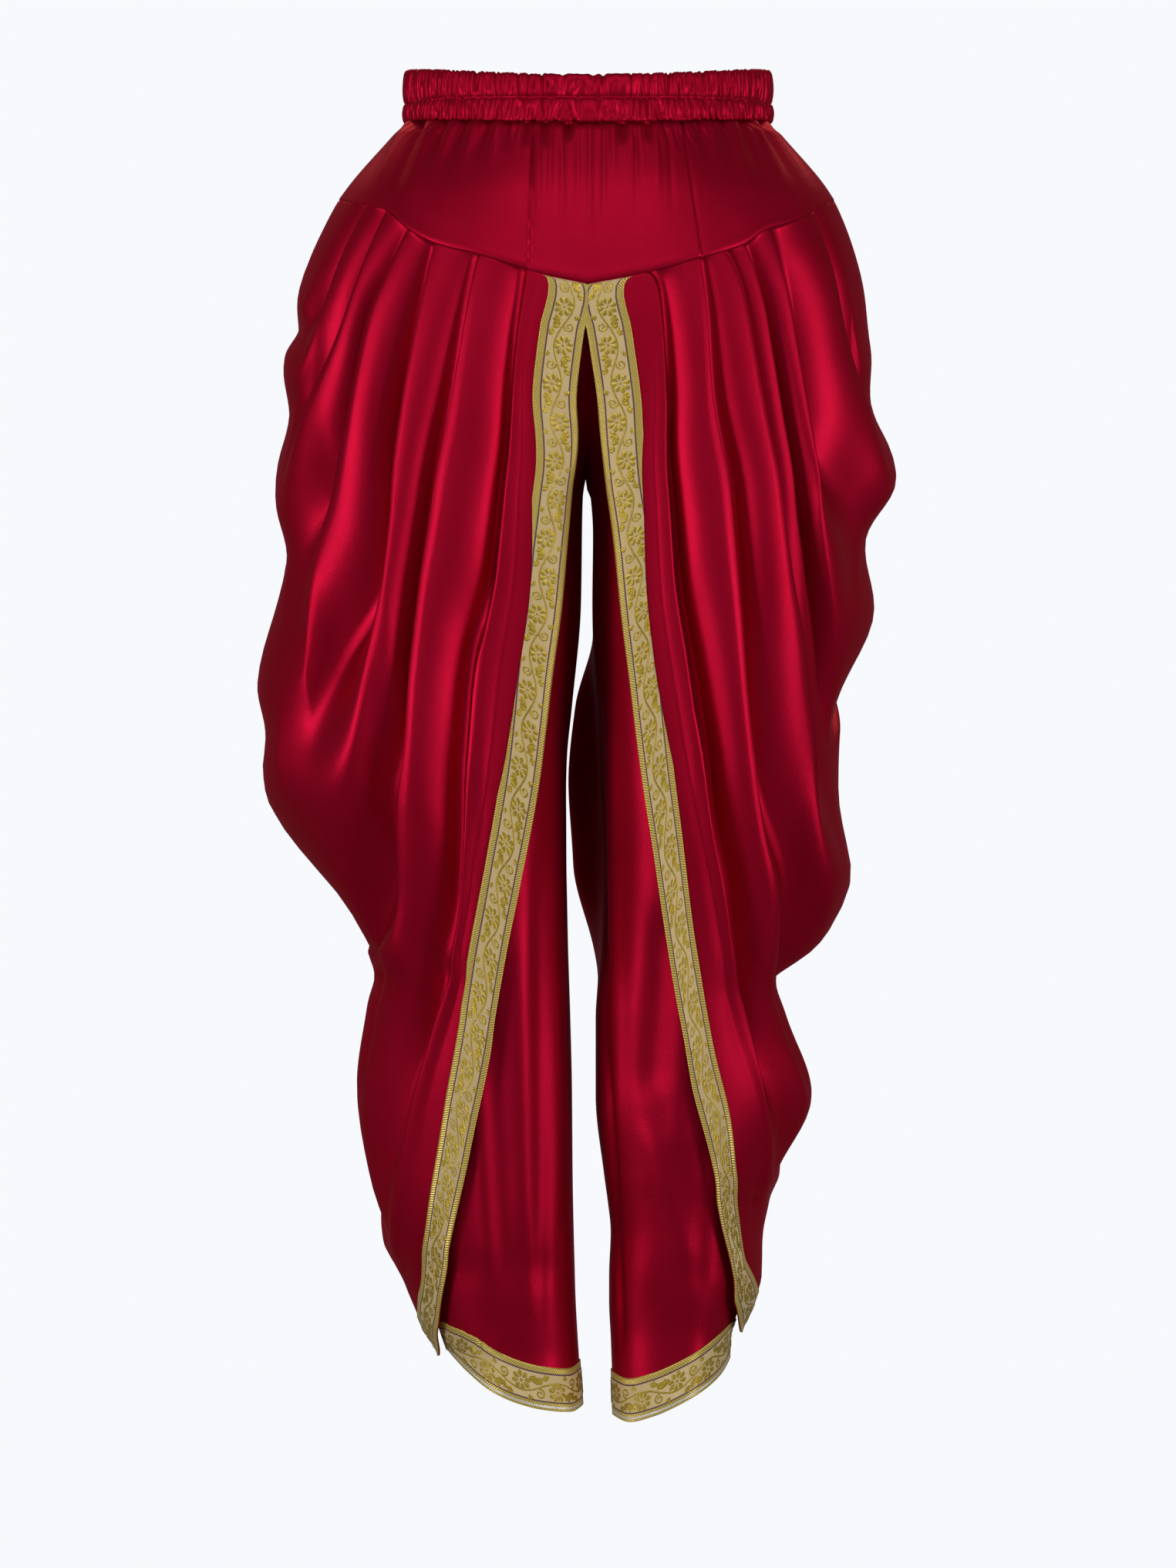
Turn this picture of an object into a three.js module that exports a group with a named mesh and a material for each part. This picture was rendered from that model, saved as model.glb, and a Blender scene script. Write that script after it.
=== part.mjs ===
import * as THREE from "three";

// Satin dhoti pants in their worn shape. Millimetres, +Z up, the front faces -Y.
// The origin is the middle of the waist. A drop is a distance below it, a reach is a distance outward
// from the middle of the body, and an angle runs round a leg: -90 inner side, 0 front, 90 outer side,
// 180 back, 270 inner side again.

// Cloth
const SATIN_WALL = 1.2;
const BORDER_WALL = 1;
const SEAM_GAP = 0.3;
const BORDER_WIDTH = 26;
const LEG_INSET = 6.6;
const LEAST_LEVEL = 0.7;

// Elastic waistband
const BAND_GATHERS = 136;
const BAND_RISE_SIDE = 17.3;
const BAND_RISE_FRONT = 10.1;
const BAND_LINE_SIDE = 2.2;
const BAND_LINE_FRONT = 3.4;
const BAND_FOOT_SIDE = 12.9;
const BAND_FOOT_FRONT = 17.9;
const UPPER_CHANNEL_FRONT = -3.4;
const LOWER_CHANNEL_FRONT = 10.6;
const BAND_PUFF = 2.2;
const GATHER_HEIGHT = 1.1;

// Yoke
const YOKE_ROWS = 4;
const YOKE_FOLDS = 28;
const YOKE_FOLD_HEIGHT = 0.8;
const BACK_SEAM_SHARE = 0.78;

// Drapes: steps along a fold from seam to lowest point, and depth of a pressed pleat at the seam
const FOLD_STEPS = 10;
const STEP_CROWDING = 1.25;
const PRESSED_DEPTH = 1.7;
const BORDER_BACK_END = 1.2;
const BACK_TURN_POWER = 3;
const MILLIMETRES_A_DEGREE = 2;

// Inner legs
const LEG_COLUMNS = 7;
const LEG_ROWS = 15;
const INNER_POWER = 3;
const DRAPE_POWER = 5;
const INNER_TIGHT = 0.45;
const BACK_FOLD_ANGLE = 240;
const BACK_FOLD_SPREAD = 30;

const SECTION_COLUMNS = ["drop", "outer", "centre", "inner", "front", "back", "under", "backFold"];

// Sections of each leg. A negative inner reach lies across the middle of the body. "under" is where
// the inner leg panel ends below the border, "backFold" is a soft fold of its back towards the middle.
const LEFT_SECTIONS = table(SECTION_COLUMNS, [
  [-20, 107.6, 22, -150, 84, 84, 12, 0],
  [12, 108.2, 22, -150, 84.8, 84.8, 12, 0],
  [21, 116.5, 23.5, -149.5, 87.2, 87.6, 12.4, 0],
  [60, 149, 34, -145, 98, 104, 14, 0],
  [110, 173, 42, -110, 104, 115, 18, 0],
  [145, 182, 46, -52, 106, 119, 21, 0],
  [190, 188, 50, -16, 107, 120, 23, 0],
  [238, 186.5, 56, 0, 107, 117, 23, 0],
  [300, 195, 60, 1, 106, 113, 27, 0],
  [361, 201, 62, 6.4, 105, 111, 35.5, 0],
  [392, 202, 62, 9.4, 103, 108, 40, 0],
  [412, 196, 62, 9.9, 101, 106, 43.5, 0],
  [455, 174, 62, 9.7, 96, 100, 52.5, 0],
  [505, 156, 60, 8.7, 89, 93, 61, 0],
  [524, 142, 59, 8.1, 86, 89.6, 64, 0],
  [546, 135, 58, 7.4, 83, 86, 67.5, 0],
  [588, 138, 55, 6.4, 77, 79, 76, 0],
  [640, 138, 52, 6, 69, 70, 84.5, 0],
  [680, 121, 50, 5.2, 63, 63, 92, 0],
  [710, 108, 49, 4.4, 58, 58, 92, 0],
  [730, 99, 48.5, 3.4, 54, 54, 88, 0],
  [749, 89, 48, 2.2, 50, 50, 83, 0],
  [790, 87, 48, -0.6, 48, 48, 82, 0],
]);
const RIGHT_SECTIONS = table(SECTION_COLUMNS, [
  [-20, 107.6, 22, -150, 84, 84, 12, 0],
  [12, 108.2, 22, -150, 84.8, 84.8, 12, 0],
  [21, 116, 23.5, -149.5, 87.2, 87.6, 12.4, 0],
  [60, 147, 34, -145, 98, 104, 14, 0],
  [110, 165, 42, -110, 104, 115, 18, 0],
  [145, 170, 46, -52, 106, 119, 20, 0],
  [190, 178, 50, -16, 107, 120, 22.5, 0],
  [228, 184, 54, -2.6, 107, 118, 23, 0],
  [259, 180, 57, -0.2, 107, 116, 25, 0],
  [300, 172, 60, -0.6, 106, 113, 28.5, 0],
  [361, 160, 62, 1.4, 104, 110, 36.5, 19],
  [412, 158, 62, 3.4, 101, 106, 45.7, 25],
  [455, 160, 62, 5.4, 96, 100, 53.5, 24],
  [505, 142, 62, 4.4, 89, 93, 62.3, 10],
  [532, 131, 62, 2.2, 85, 88.4, 67.4, 2],
  [546, 127, 62, 1.4, 83, 86, 70.5, 0],
  [593, 133.5, 61, 1.4, 76, 78, 79, 0],
  [640, 120, 60, 6.4, 69, 70, 88, 0],
  [674, 109, 59, 10.4, 63, 63, 93, 0],
  [700, 103.5, 58, 9.4, 59, 59, 93, 0],
  [716, 99, 57.8, 9.4, 56, 56, 90, 0],
  [737, 91, 57.5, 10.4, 52, 52, 86, 0],
  [790, 90, 57, 12.2, 49, 49, 85, 0],
]);

// Lower seam of the yoke in front, from the middle to the side.
const LEFT_SEAM = table(
  ["reach", "drop"],
  [[0, 114.3], [28.5, 108.3], [63, 97.7], [90, 90.3], [105, 82.3], [120, 69], [146, 61.8], [150, 59]],
);
const RIGHT_SEAM = table(
  ["reach", "drop"],
  [[0, 114.3], [34.4, 107.9], [66.4, 99.2], [91.4, 91.1], [105.5, 81.5], [120, 76.5], [148, 60]],
);

// Lower edge of each inner leg, from the inseam to the outer ankle.
const LEFT_HEM = table(
  ["reach", "drop"],
  [[2.5, 776], [10.5, 779.7], [26.5, 778], [42, 774], [57, 767], [72, 755], [83, 744]],
);
const RIGHT_HEM = table(
  ["reach", "drop"],
  [[14.6, 782], [24.6, 785.5], [38.3, 782], [52, 776], [65.8, 768], [78, 758], [86, 746]],
);

// Folds of each drape, from the side of the hip to the front edge. Each runs from the seam down to its
// lowest point at the side, and up the back. "reaches" are at FOLD_DROPS. "sink" takes the fold inward
// at the side. "share" and "depth" are for the valley between this fold and the next: where it lies
// between them at the seam, halfway and at the side (0 is this fold, 1 the next), and how deep it is
// halfway and at the side.
const FOLD_DROPS = [130, 180, 230, 280, 335, 390, 440, 500, 550, 600, 650, 690, 715, 730];
const FOLD_COLUMNS = ["seam", "lowAngle", "lowDrop", "sink", "share", "depth", "reaches"];
const LEFT_FOLDS = [
  fold(141, 74, 122, 2, [0.8, 0.5, 0.35], [3, 4], []),
  fold(131, 68, 160, 3, [0.85, 0.5, 0.3], [5, 6], [160]),
  fold(118.7, 80, 240, 0, [0.9, 0.6, 0.8], [8, 5], [143.5, 165]),
  fold(105, 62, 350, 8, [0.9, 0.5, 0.12], [10, 2], [129.5, 141, 151, 164.5, 169]),
  fold(90, 63, 441, 0, [0.9, 0.6, 0.6], [9, 25], [99.5, 109, 115.5, 120, 129.8, 142]),
  fold(63, 76, 600, 0, [0.93, 0.75, 0.75], [9, 5], [70.6, 79.7, 90, 97.5, 104.4, 108.5, 112, 116, 127]),
  fold(35, 80, 692, 4, [0.5, 0.5, 0.5], [3, 3], [39, 44, 48, 53, 64.5, 70, 72.5, 78, 90, 104, 113]),
];
const RIGHT_FOLDS = [
  fold(141, 72, 150, 2, [0.8, 0.5, 0.35], [4, 5], [158]),
  fold(133, 78, 230, 0, [0.9, 0.6, 0.6], [8, 12], [150.5, 165]),
  fold(106, 62, 318, 0, [0.9, 0.6, 0.9], [9, 2], [120.5, 129, 136.5, 142.5]),
  fold(91.5, 70, 388, 9, [0.8, 0.5, 0.2], [3, 1], [105, 114, 123, 130.8, 141]),
  fold(80, 82, 496, 0, [0.8, 0.4, 0.75], [9, 24], [94, 103, 113, 120, 129, 135, 139]),
  fold(66, 77, 598, 0, [0.93, 0.8, 0.6], [9, 10], [69.5, 73, 82.5, 87.5, 92.3, 97.8, 104.5, 112.5, 124]),
  fold(34.5, 80, 660, 4, [0.5, 0.5, 0.5], [3, 3], [42.5, 45.8, 46.5, 50, 58, 67, 74, 84, 94, 104]),
];
const LEFT_BORDER = [
  fold(29, 88, 723, 0, [0.5, 0.5, 0.5], [0, 0],
    [31.3, 34.4, 32.7, 33, 39.5, 48, 59, 69.3, 76.8, 87.8, 94.5, 100, 102.3]),
  fold(1, 86, 748, 0, [0.5, 0.5, 0.5], [0, 0],
    [4.7, 6.8, 9, 13.5, 19.8, 26.5, 34.5, 46.6, 55.3, 64.4, 75, 82.7, 87, 89]),
];
const RIGHT_BORDER = [
  fold(27.4, 88, 708, 0, [0.5, 0.5, 0.5], [0, 0],
    [30, 33.9, 31.8, 33.6, 38.8, 48.7, 60.4, 71.7, 81.7, 91, 98, 101]),
  fold(0.6, 86, 734, 0, [0.5, 0.5, 0.5], [0, 0],
    [2.3, 5.3, 10.5, 16.8, 22.9, 29.7, 37.2, 46.2, 55, 64.8, 75.7, 84.2, 87]),
];

const LEFT = {
  name: "left",
  sign: -1,
  sections: LEFT_SECTIONS,
  seam: LEFT_SEAM,
  hem: LEFT_HEM,
  folds: LEFT_FOLDS,
  border: LEFT_BORDER,
};
const RIGHT = {
  name: "right",
  sign: 1,
  sections: RIGHT_SECTIONS,
  seam: RIGHT_SEAM,
  hem: RIGHT_HEM,
  folds: RIGHT_FOLDS,
  border: RIGHT_BORDER,
};

// Small helpers

function table(columns, rows) {
  return Object.fromEntries(columns.map((name, i) => [name, rows.map((row) => row[i])]));
}

function fold(...values) {
  return Object.fromEntries(FOLD_COLUMNS.map((name, i) => [name, values[i]]));
}

function mix(a, b, share) {
  return a + (b - a) * share;
}

function ease(share) {
  return (1 - Math.cos(Math.PI * share)) / 2;
}

function sine(degrees) {
  return Math.sin(THREE.MathUtils.degToRad(degrees));
}

function cosine(degrees) {
  return Math.cos(THREE.MathUtils.degToRad(degrees));
}

// Value at x of a smooth curve through the points, which never overshoots them.
function smoothValue(xs, ys, x) {
  const last = xs.length - 1;
  if (x <= xs[0]) return ys[0];
  if (x >= xs[last]) return ys[last];
  let i = 0;
  while (x > xs[i + 1]) i += 1;
  const slope = (k) => (ys[k + 1] - ys[k]) / (xs[k + 1] - xs[k]);
  const tangent = (k) => {
    if (k === 0) return slope(0);
    if (k === last) return slope(last - 1);
    const before = slope(k - 1);
    const after = slope(k);
    return before * after <= 0 ? 0 : (2 * before * after) / (before + after);
  };
  const step = xs[i + 1] - xs[i];
  const u = (x - xs[i]) / step;
  const bend = 3 * u * u - 2 * u * u * u;
  const leave = u * (1 - u) * (1 - u) * tangent(i);
  const arrive = u * u * (u - 1) * tangent(i + 1);
  return mix(ys[i], ys[i + 1], bend) + step * (leave + arrive);
}

// Sections of a leg

// The section of a leg at a drop. "tight" brings its front, back and outer side closer to the leg.
function sectionAt(leg, drop, tight = 0) {
  const value = (column) => smoothValue(leg.sections.drop, leg.sections[column], drop);
  const centre = value("centre");
  return {
    centre,
    outerHalf: value("outer") - centre - tight,
    innerHalf: centre - value("inner") - tight * INNER_TIGHT,
    front: value("front") - tight,
    back: value("back") - tight,
    under: value("under"),
    backFold: value("backFold"),
  };
}

// A point round a leg at an angle and a drop, moved outward level from the section by "out".
function legPoint(leg, angle, drop, out = 0, tight = 0) {
  const section = sectionAt(leg, drop, tight);
  const across = sine(angle);
  const half = across > 0 ? section.outerHalf : section.innerHalf;
  const innerPower = tight > 0 ? INNER_POWER : DRAPE_POWER;
  const power = across > 0 ? 2 : innerPower;
  const depth = cosine(angle) > 0 ? -section.front : section.back;
  const along = (1 - Math.abs(across) ** power) ** (1 / power);
  const normal = new THREE.Vector2(
    Math.sign(across) * Math.abs(across) ** (power - 1) / half,
    along ** (power - 1) / depth,
  ).normalize();
  const nearFold = THREE.MathUtils.clamp((angle - BACK_FOLD_ANGLE) / BACK_FOLD_SPREAD, -1, 1);
  const foldShift = section.backFold * ease(1 - Math.abs(nearFold));
  const reach = section.centre + half * across - foldShift + normal.x * out;
  const point = new THREE.Vector3(leg.sign * reach, depth * along + normal.y * out, -drop);
  point.outward = new THREE.Vector3(leg.sign * normal.x, normal.y, 0);
  return point;
}

function angleAtReach(section, reach) {
  const offset = reach - section.centre;
  const half = offset > 0 ? section.outerHalf : section.innerHalf;
  return THREE.MathUtils.radToDeg(Math.asin(THREE.MathUtils.clamp(offset / half, -1, 1)));
}

function reachAtAngle(section, angle) {
  const across = sine(angle);
  return section.centre + across * (across > 0 ? section.outerHalf : section.innerHalf);
}

// Drop of the yoke's lower seam on one side at a reach, in front or behind.
function seamDrop(leg, reach, behind) {
  const front = smoothValue(leg.seam.reach, leg.seam.drop, reach);
  const side = leg.seam.drop.at(-1);
  return behind ? mix(side, front, BACK_SEAM_SHARE) : front;
}

// Finds the drop where a column's reach meets an edge that is given by reach.
function dropOnEdge(first, reachAt, edgeDrop) {
  let drop = first;
  for (let turn = 0; turn < 6; turn += 1) drop = edgeDrop(reachAt(drop));
  return drop;
}

// Walls

function surfaceNormal(grid, row, column, closed) {
  const columns = grid[0].length;
  const wrap = (c) => (closed ? (c + columns) % columns : THREE.MathUtils.clamp(c, 0, columns - 1));
  const up = grid[Math.max(row - 1, 0)][column];
  const down = grid[Math.min(row + 1, grid.length - 1)][column];
  const before = grid[row][wrap(column - 1)];
  const after = grid[row][wrap(column + 1)];
  const normal = new THREE.Vector3().subVectors(down, up).cross(new THREE.Vector3().subVectors(after, before));
  normal.normalize();
  return normal.dot(grid[row][column].outward) < 0 ? normal.negate() : normal;
}

// Moves every point of a grid along its own normal, and the points of its edges level, so that two
// pieces keep their gap along a seam.
function moveOut(grid, distance, closed = false) {
  const lastRow = grid.length - 1;
  const lastColumn = grid[0].length - 1;
  return grid.map((line, row) =>
    line.map((point, column) => {
      const normal = surfaceNormal(grid, row, column, closed);
      const onSide = !closed && (column === 0 || column === lastColumn);
      const level = row === 0 || row === lastRow || onSide;
      const lean = Math.max(normal.dot(point.outward), LEAST_LEVEL);
      if (level) normal.copy(point.outward).divideScalar(lean);
      const moved = point.clone().addScaledVector(normal, distance);
      moved.outward = point.outward;
      return moved;
    }),
  );
}

// A closed wall between an outer grid of points and an inner one.
function wallGeometry(outer, inner, closed = false) {
  const rows = outer.length;
  const columns = outer[0].length;
  const positions = [outer, inner].flatMap((grid) => grid.flatMap((line) => line.flatMap((p) => p.toArray())));
  const spans = closed ? columns : columns - 1;
  const at = (face, row, column) => (face * rows + row) * columns + (column % columns);
  const faces = [];
  const quad = (a, b, c, d) => faces.push(a, b, c, a, c, d);
  for (let row = 0; row < rows - 1; row += 1) {
    for (let column = 0; column < spans; column += 1) {
      const next = column + 1;
      quad(at(0, row, column), at(0, row + 1, column), at(0, row + 1, next), at(0, row, next));
      quad(at(1, row, column), at(1, row, next), at(1, row + 1, next), at(1, row + 1, column));
    }
  }
  for (let column = 0; column < spans; column += 1) {
    const next = column + 1;
    quad(at(0, 0, column), at(0, 0, next), at(1, 0, next), at(1, 0, column));
    quad(at(0, rows - 1, column), at(1, rows - 1, column), at(1, rows - 1, next), at(0, rows - 1, next));
  }
  if (!closed) {
    for (let row = 0; row < rows - 1; row += 1) {
      quad(at(0, row, 0), at(1, row, 0), at(1, row + 1, 0), at(0, row + 1, 0));
      quad(at(0, row, spans), at(0, row + 1, spans), at(1, row + 1, spans), at(1, row, spans));
    }
  }
  return facingOut(positions, faces);
}

// A closed body from rings of points, each joined to the next and the last to the first.
function loopGeometry(rings) {
  const columns = rings[0].length;
  const positions = rings.flatMap((ring) => ring.flatMap((p) => p.toArray()));
  const faces = [];
  rings.forEach((ring, row) => {
    ring.forEach((_, column) => {
      const next = (column + 1) % columns;
      const below = ((row + 1) % rings.length) * columns;
      faces.push(row * columns + column, below + column, below + next);
      faces.push(row * columns + column, below + next, row * columns + next);
    });
  });
  return facingOut(positions, faces);
}

function facingOut(positions, faces) {
  const corner = (i) => new THREE.Vector3().fromArray(positions, faces[i] * 3);
  let volume = 0;
  for (let i = 0; i < faces.length; i += 3) volume += corner(i).cross(corner(i + 1)).dot(corner(i + 2));
  if (volume < 0) faces.reverse();
  const geometry = new THREE.BufferGeometry();
  geometry.setAttribute("position", new THREE.Float32BufferAttribute(positions, 3));
  geometry.setIndex(faces);
  geometry.computeVertexNormals();
  return geometry;
}

function clothWall(grid, thickness, closed = false) {
  return wallGeometry(grid, moveOut(grid, -thickness, closed), closed);
}

// Waistband and yoke: a turn runs round one side of the body, 0 at the front middle, 1 at the back middle

function ringPoint(leg, turn, dropAt, out) {
  const angleAt = (drop) => {
    const middle = angleAtReach(sectionAt(leg, drop), 0);
    return mix(middle, 180 - middle, turn);
  };
  const drop = dropAt(leg, turn, angleAt);
  return legPoint(leg, angleAt(drop), drop, out);
}

// 1 at the front middle, falling to 0 at the sides, for the dip of the band in front.
function frontDip(turn) {
  return turn < 0.5 ? ease(1 - turn * 2) : 0;
}

function bandDrop(side, front, turn) {
  return mix(side, front, frontDip(turn));
}

function waistband() {
  const rows = [
    { side: -BAND_RISE_SIDE, front: -BAND_RISE_FRONT, out: 0, scallop: 0.5 },
    { side: (BAND_LINE_SIDE - BAND_RISE_SIDE) / 2, front: UPPER_CHANNEL_FRONT, out: BAND_PUFF, scallop: 0 },
    { side: BAND_LINE_SIDE, front: BAND_LINE_FRONT, out: 0.3, scallop: 0 },
    { side: (BAND_LINE_SIDE + BAND_FOOT_SIDE) / 2, front: LOWER_CHANNEL_FRONT, out: BAND_PUFF, scallop: 0 },
    { side: BAND_FOOT_SIDE, front: BAND_FOOT_FRONT, out: 0, scallop: -0.3 },
  ];
  const columns = BAND_GATHERS * 2;
  const ring = (row, gathered) =>
    Array.from({ length: columns }, (_, column) => {
      const crest = column % 2 === 0 ? 1 : 0;
      const out = gathered ? row.out + crest * GATHER_HEIGHT : -SATIN_WALL;
      const share = column / columns;
      const leg = share <= 0.5 ? LEFT : RIGHT;
      const round = share <= 0.5 ? share * 2 : (1 - share) * 2;
      return ringPoint(leg, round, (_, turn) => bandDrop(row.side, row.front, turn) - row.scallop * crest, out);
    });
  const plain = [rows.at(-1), rows[0]].map((row) => ring({ ...row, scallop: 0 }, false));
  return loopGeometry([...rows.map((row) => ring(row, true)), ...plain]);
}

// The yoke's columns end where the rows of the drape meet the seam, given as turns round one side:
// 0 at the middle, 0.5 at the side.
function seamTurns(leg, behind) {
  const rows = drapeRows(leg);
  const side = [1, 0.5, 0].map((step) => drapePlace(leg, rows[0], behind ? 2 - step : step));
  const front = rows.slice(1).map((row) => drapePlace(leg, row, behind ? 2 : 0));
  const turns = [...side, ...front].map(({ angle, drop }) => {
    const middle = angleAtReach(sectionAt(leg, drop), 0);
    return ((behind ? 180 - angle : angle) - middle) / (180 - 2 * middle);
  });
  return [...turns, 0];
}

function yokePoint(leg, turn, share, behind) {
  const round = behind ? 1 - turn : turn;
  const ring = leg === LEFT ? round / 2 : 1 - round / 2;
  const fading = (1 - share) ** 1.5;
  const wave = Math.cos(ring * YOKE_FOLDS * 2 * Math.PI);
  const dropAt = (_, ringTurn, angleAt) => {
    const top = bandDrop(BAND_FOOT_SIDE, BAND_FOOT_FRONT, ringTurn) + SEAM_GAP;
    const reachAt = (drop) => reachAtAngle(sectionAt(leg, drop), angleAt(drop));
    const foot = dropOnEdge(90, reachAt, (reach) => seamDrop(leg, reach, behind)) - SEAM_GAP / 2;
    return mix(top, foot, share);
  };
  const point = ringPoint(leg, round, dropAt, wave * YOKE_FOLD_HEIGHT * fading);
  point.y += (behind ? SEAM_GAP : -SEAM_GAP) / 2;
  return point;
}

function yoke(behind) {
  const grid = Array.from({ length: YOKE_ROWS + 1 }, (_, row) => {
    const side = (leg) => seamTurns(leg, behind).map((turn) => yokePoint(leg, turn, row / YOKE_ROWS, behind));
    return [...side(LEFT), ...side(RIGHT).reverse().slice(1)];
  });
  return clothWall(grid, SATIN_WALL);
}

// Drapes

// The path of a fold as angle and drop against a step: 0 seam in front, 1 lowest point, 2 seam behind.
function foldPath(leg, crease) {
  const start = seamDrop(leg, crease.seam, false) + SEAM_GAP / 2;
  const points = [{ angle: angleAtReach(sectionAt(leg, start), crease.seam), drop: start }];
  crease.reaches.forEach((reach, i) => {
    points.push({ angle: angleAtReach(sectionAt(leg, FOLD_DROPS[i]), reach), drop: FOLD_DROPS[i] });
  });
  points.push({ angle: crease.lowAngle, drop: crease.lowDrop });
  const first = points[0].angle;
  const backSeam = seamDrop(leg, crease.seam, true) + SEAM_GAP / 2;
  const stretch = (crease.lowDrop - backSeam) / (crease.lowDrop - start);
  const lift = (drop) => crease.lowDrop - (crease.lowDrop - drop) * stretch;
  const behind = points.slice(0, -1).reverse().map((p) => {
    const drop = lift(p.drop);
    const mirrored = 180 - angleAtReach(sectionAt(leg, drop), reachAtAngle(sectionAt(leg, p.drop), p.angle));
    const share = (p.angle - first) / (crease.lowAngle - first);
    return { angle: mirrored + (crease.lowAngle * 2 - 180) * share ** BACK_TURN_POWER, drop };
  });
  const front = stepsAlong(points, 0);
  const back = stepsAlong([points.at(-1), ...behind], 1);
  const whole = [...front, ...back.slice(1)];
  return { steps: whole.map((p) => p.step), angles: whole.map((p) => p.angle), drops: whole.map((p) => p.drop) };
}

function stepsAlong(points, from) {
  let run = 0;
  const runs = points.map((p, i) => {
    const before = points[Math.max(i - 1, 0)];
    run += Math.hypot((p.angle - before.angle) * MILLIMETRES_A_DEGREE, p.drop - before.drop);
    return run;
  });
  return points.map((p, i) => ({ ...p, step: from + runs[i] / run }));
}

// The top row of a drape, which follows the yoke's seam round the side of the hip.
function sidePath(leg) {
  const reach = leg.seam.reach.at(-1) - 3;
  const drop = leg.seam.drop.at(-1) + SEAM_GAP / 2;
  const edge = seamDrop(leg, reach, false) + SEAM_GAP / 2;
  const angle = angleAtReach(sectionAt(leg, edge), reach);
  return { steps: [0, 1, 2], angles: [angle, 90, 180 - angle], drops: [edge, drop, edge], onSeam: true };
}

function pathPoint(path, step) {
  return { angle: smoothValue(path.steps, path.angles, step), drop: smoothValue(path.steps, path.drops, step) };
}

function nearness(step) {
  return Math.min(step, 2 - step);
}

// How far inward the cloth lies between two folds. "share" runs from the upper fold to the next.
function foldInset(upper, lower, share, step) {
  const near = nearness(step);
  const from = upper.sink * ease(near);
  const to = lower.sink * ease(near);
  const valleyAt = smoothValue([0, 0.5, 1], upper.share, near);
  const pressed = upper.depth[0] > 0 ? PRESSED_DEPTH : 0;
  const depth = smoothValue([0, 0.5, 1], [pressed, ...upper.depth], near);
  const valley = mix(from, to, valleyAt) + depth;
  if (share <= valleyAt) return mix(from, valley, ease(share / valleyAt));
  return mix(valley, to, ease((share - valleyAt) / (1 - valleyAt)));
}

// Rows of a drape: each is a pair of folds and a share between them, which follows the valley.
function drapeRows(leg) {
  const flat = fold(0, 90, 0, 0, [0.5, 0.5, 0.5], [0, 0], []);
  const creases = [
    { crease: flat, path: sidePath(leg) },
    ...[...leg.folds, ...leg.border].map((crease) => ({ crease, path: foldPath(leg, crease) })),
  ];
  const rows = [];
  creases.slice(0, -1).forEach((upper, i) => {
    const parts = upper.crease.depth[0] > 0 ? [0, 0.5, 1, 1.5] : [0, 1];
    parts.forEach((part) => rows.push({ upper, lower: creases[i + 1], part }));
  });
  rows.push({ upper: creases.at(-2), lower: creases.at(-1), part: 2 });
  return rows;
}

// Where a row's point lies: its angle and drop, and how far inward.
function drapePlace(leg, row, step) {
  const valleyAt = smoothValue([0, 0.5, 1], row.upper.crease.share, nearness(step));
  const share = row.part <= 1 ? row.part * valleyAt : mix(valleyAt, 1, row.part - 1);
  const above = pathPoint(row.upper.path, step);
  const below = pathPoint(row.lower.path, step);
  const inset = foldInset(row.upper.crease, row.lower.crease, share, step);
  const angle = mix(above.angle, below.angle, share);
  const drop = mix(above.drop, below.drop, share);
  const topRow = row.upper.path.onSeam && row.part === 0;
  const toSeam = topRow ? 1 : Math.max(0, 1 - nearness(step) / foldStep(1));
  const reach = reachAtAngle(sectionAt(leg, drop), angle);
  const seam = seamDrop(leg, reach, step > 1) + SEAM_GAP / 2;
  return { angle, drop: mix(drop, seam, toSeam), inset };
}

function drapePoint(leg, row, step) {
  const { angle, drop, inset } = drapePlace(leg, row, step);
  return legPoint(leg, angle, drop, -inset);
}

function drapeGrid(leg, rows) {
  return rows.map((row) =>
    Array.from({ length: FOLD_STEPS * 2 + 1 }, (_, i) => drapePoint(leg, row, foldStep(i))),
  );
}

// Steps lie closer together towards the lowest point of a fold, where it turns.
function foldStep(i) {
  const run = Math.abs(i / FOLD_STEPS - 1) ** STEP_CROWDING;
  return i < FOLD_STEPS ? 1 - run : 1 + run;
}

function drape(leg) {
  return clothWall(drapeGrid(leg, drapeRows(leg)), SATIN_WALL);
}

// The gold border lies on the front edge of the drape and ends just behind the ankle.
function frontBorder(leg) {
  const columns = Math.round(FOLD_STEPS * BORDER_BACK_END) + 1;
  const edge = drapeGrid(leg, drapeRows(leg)).slice(-3);
  const strip = moveOut(edge, SEAM_GAP + BORDER_WALL).map((line) => line.slice(0, columns));
  const under = moveOut(edge, SEAM_GAP).map((line) => line.slice(0, columns));
  return wallGeometry(strip, under);
}

// Inner legs

// A point of the inner leg: share 0 at the inseam or the middle of the body, 1 below the border.
function innerLegPoint(leg, share, drop, behind, inset = LEG_INSET) {
  const section = sectionAt(leg, drop, inset);
  const inner = section.centre - section.innerHalf < 0 ? angleAtReach(section, 0) : -90;
  const outer = angleAtReach(section, section.under);
  const angle = mix(inner, outer, share);
  const point = legPoint(leg, behind ? 180 - angle : angle, drop, 0, inset);
  point.x += leg.sign * SEAM_GAP / 2;
  point.y += (behind ? SEAM_GAP : -SEAM_GAP) / 2;
  return point;
}

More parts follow.
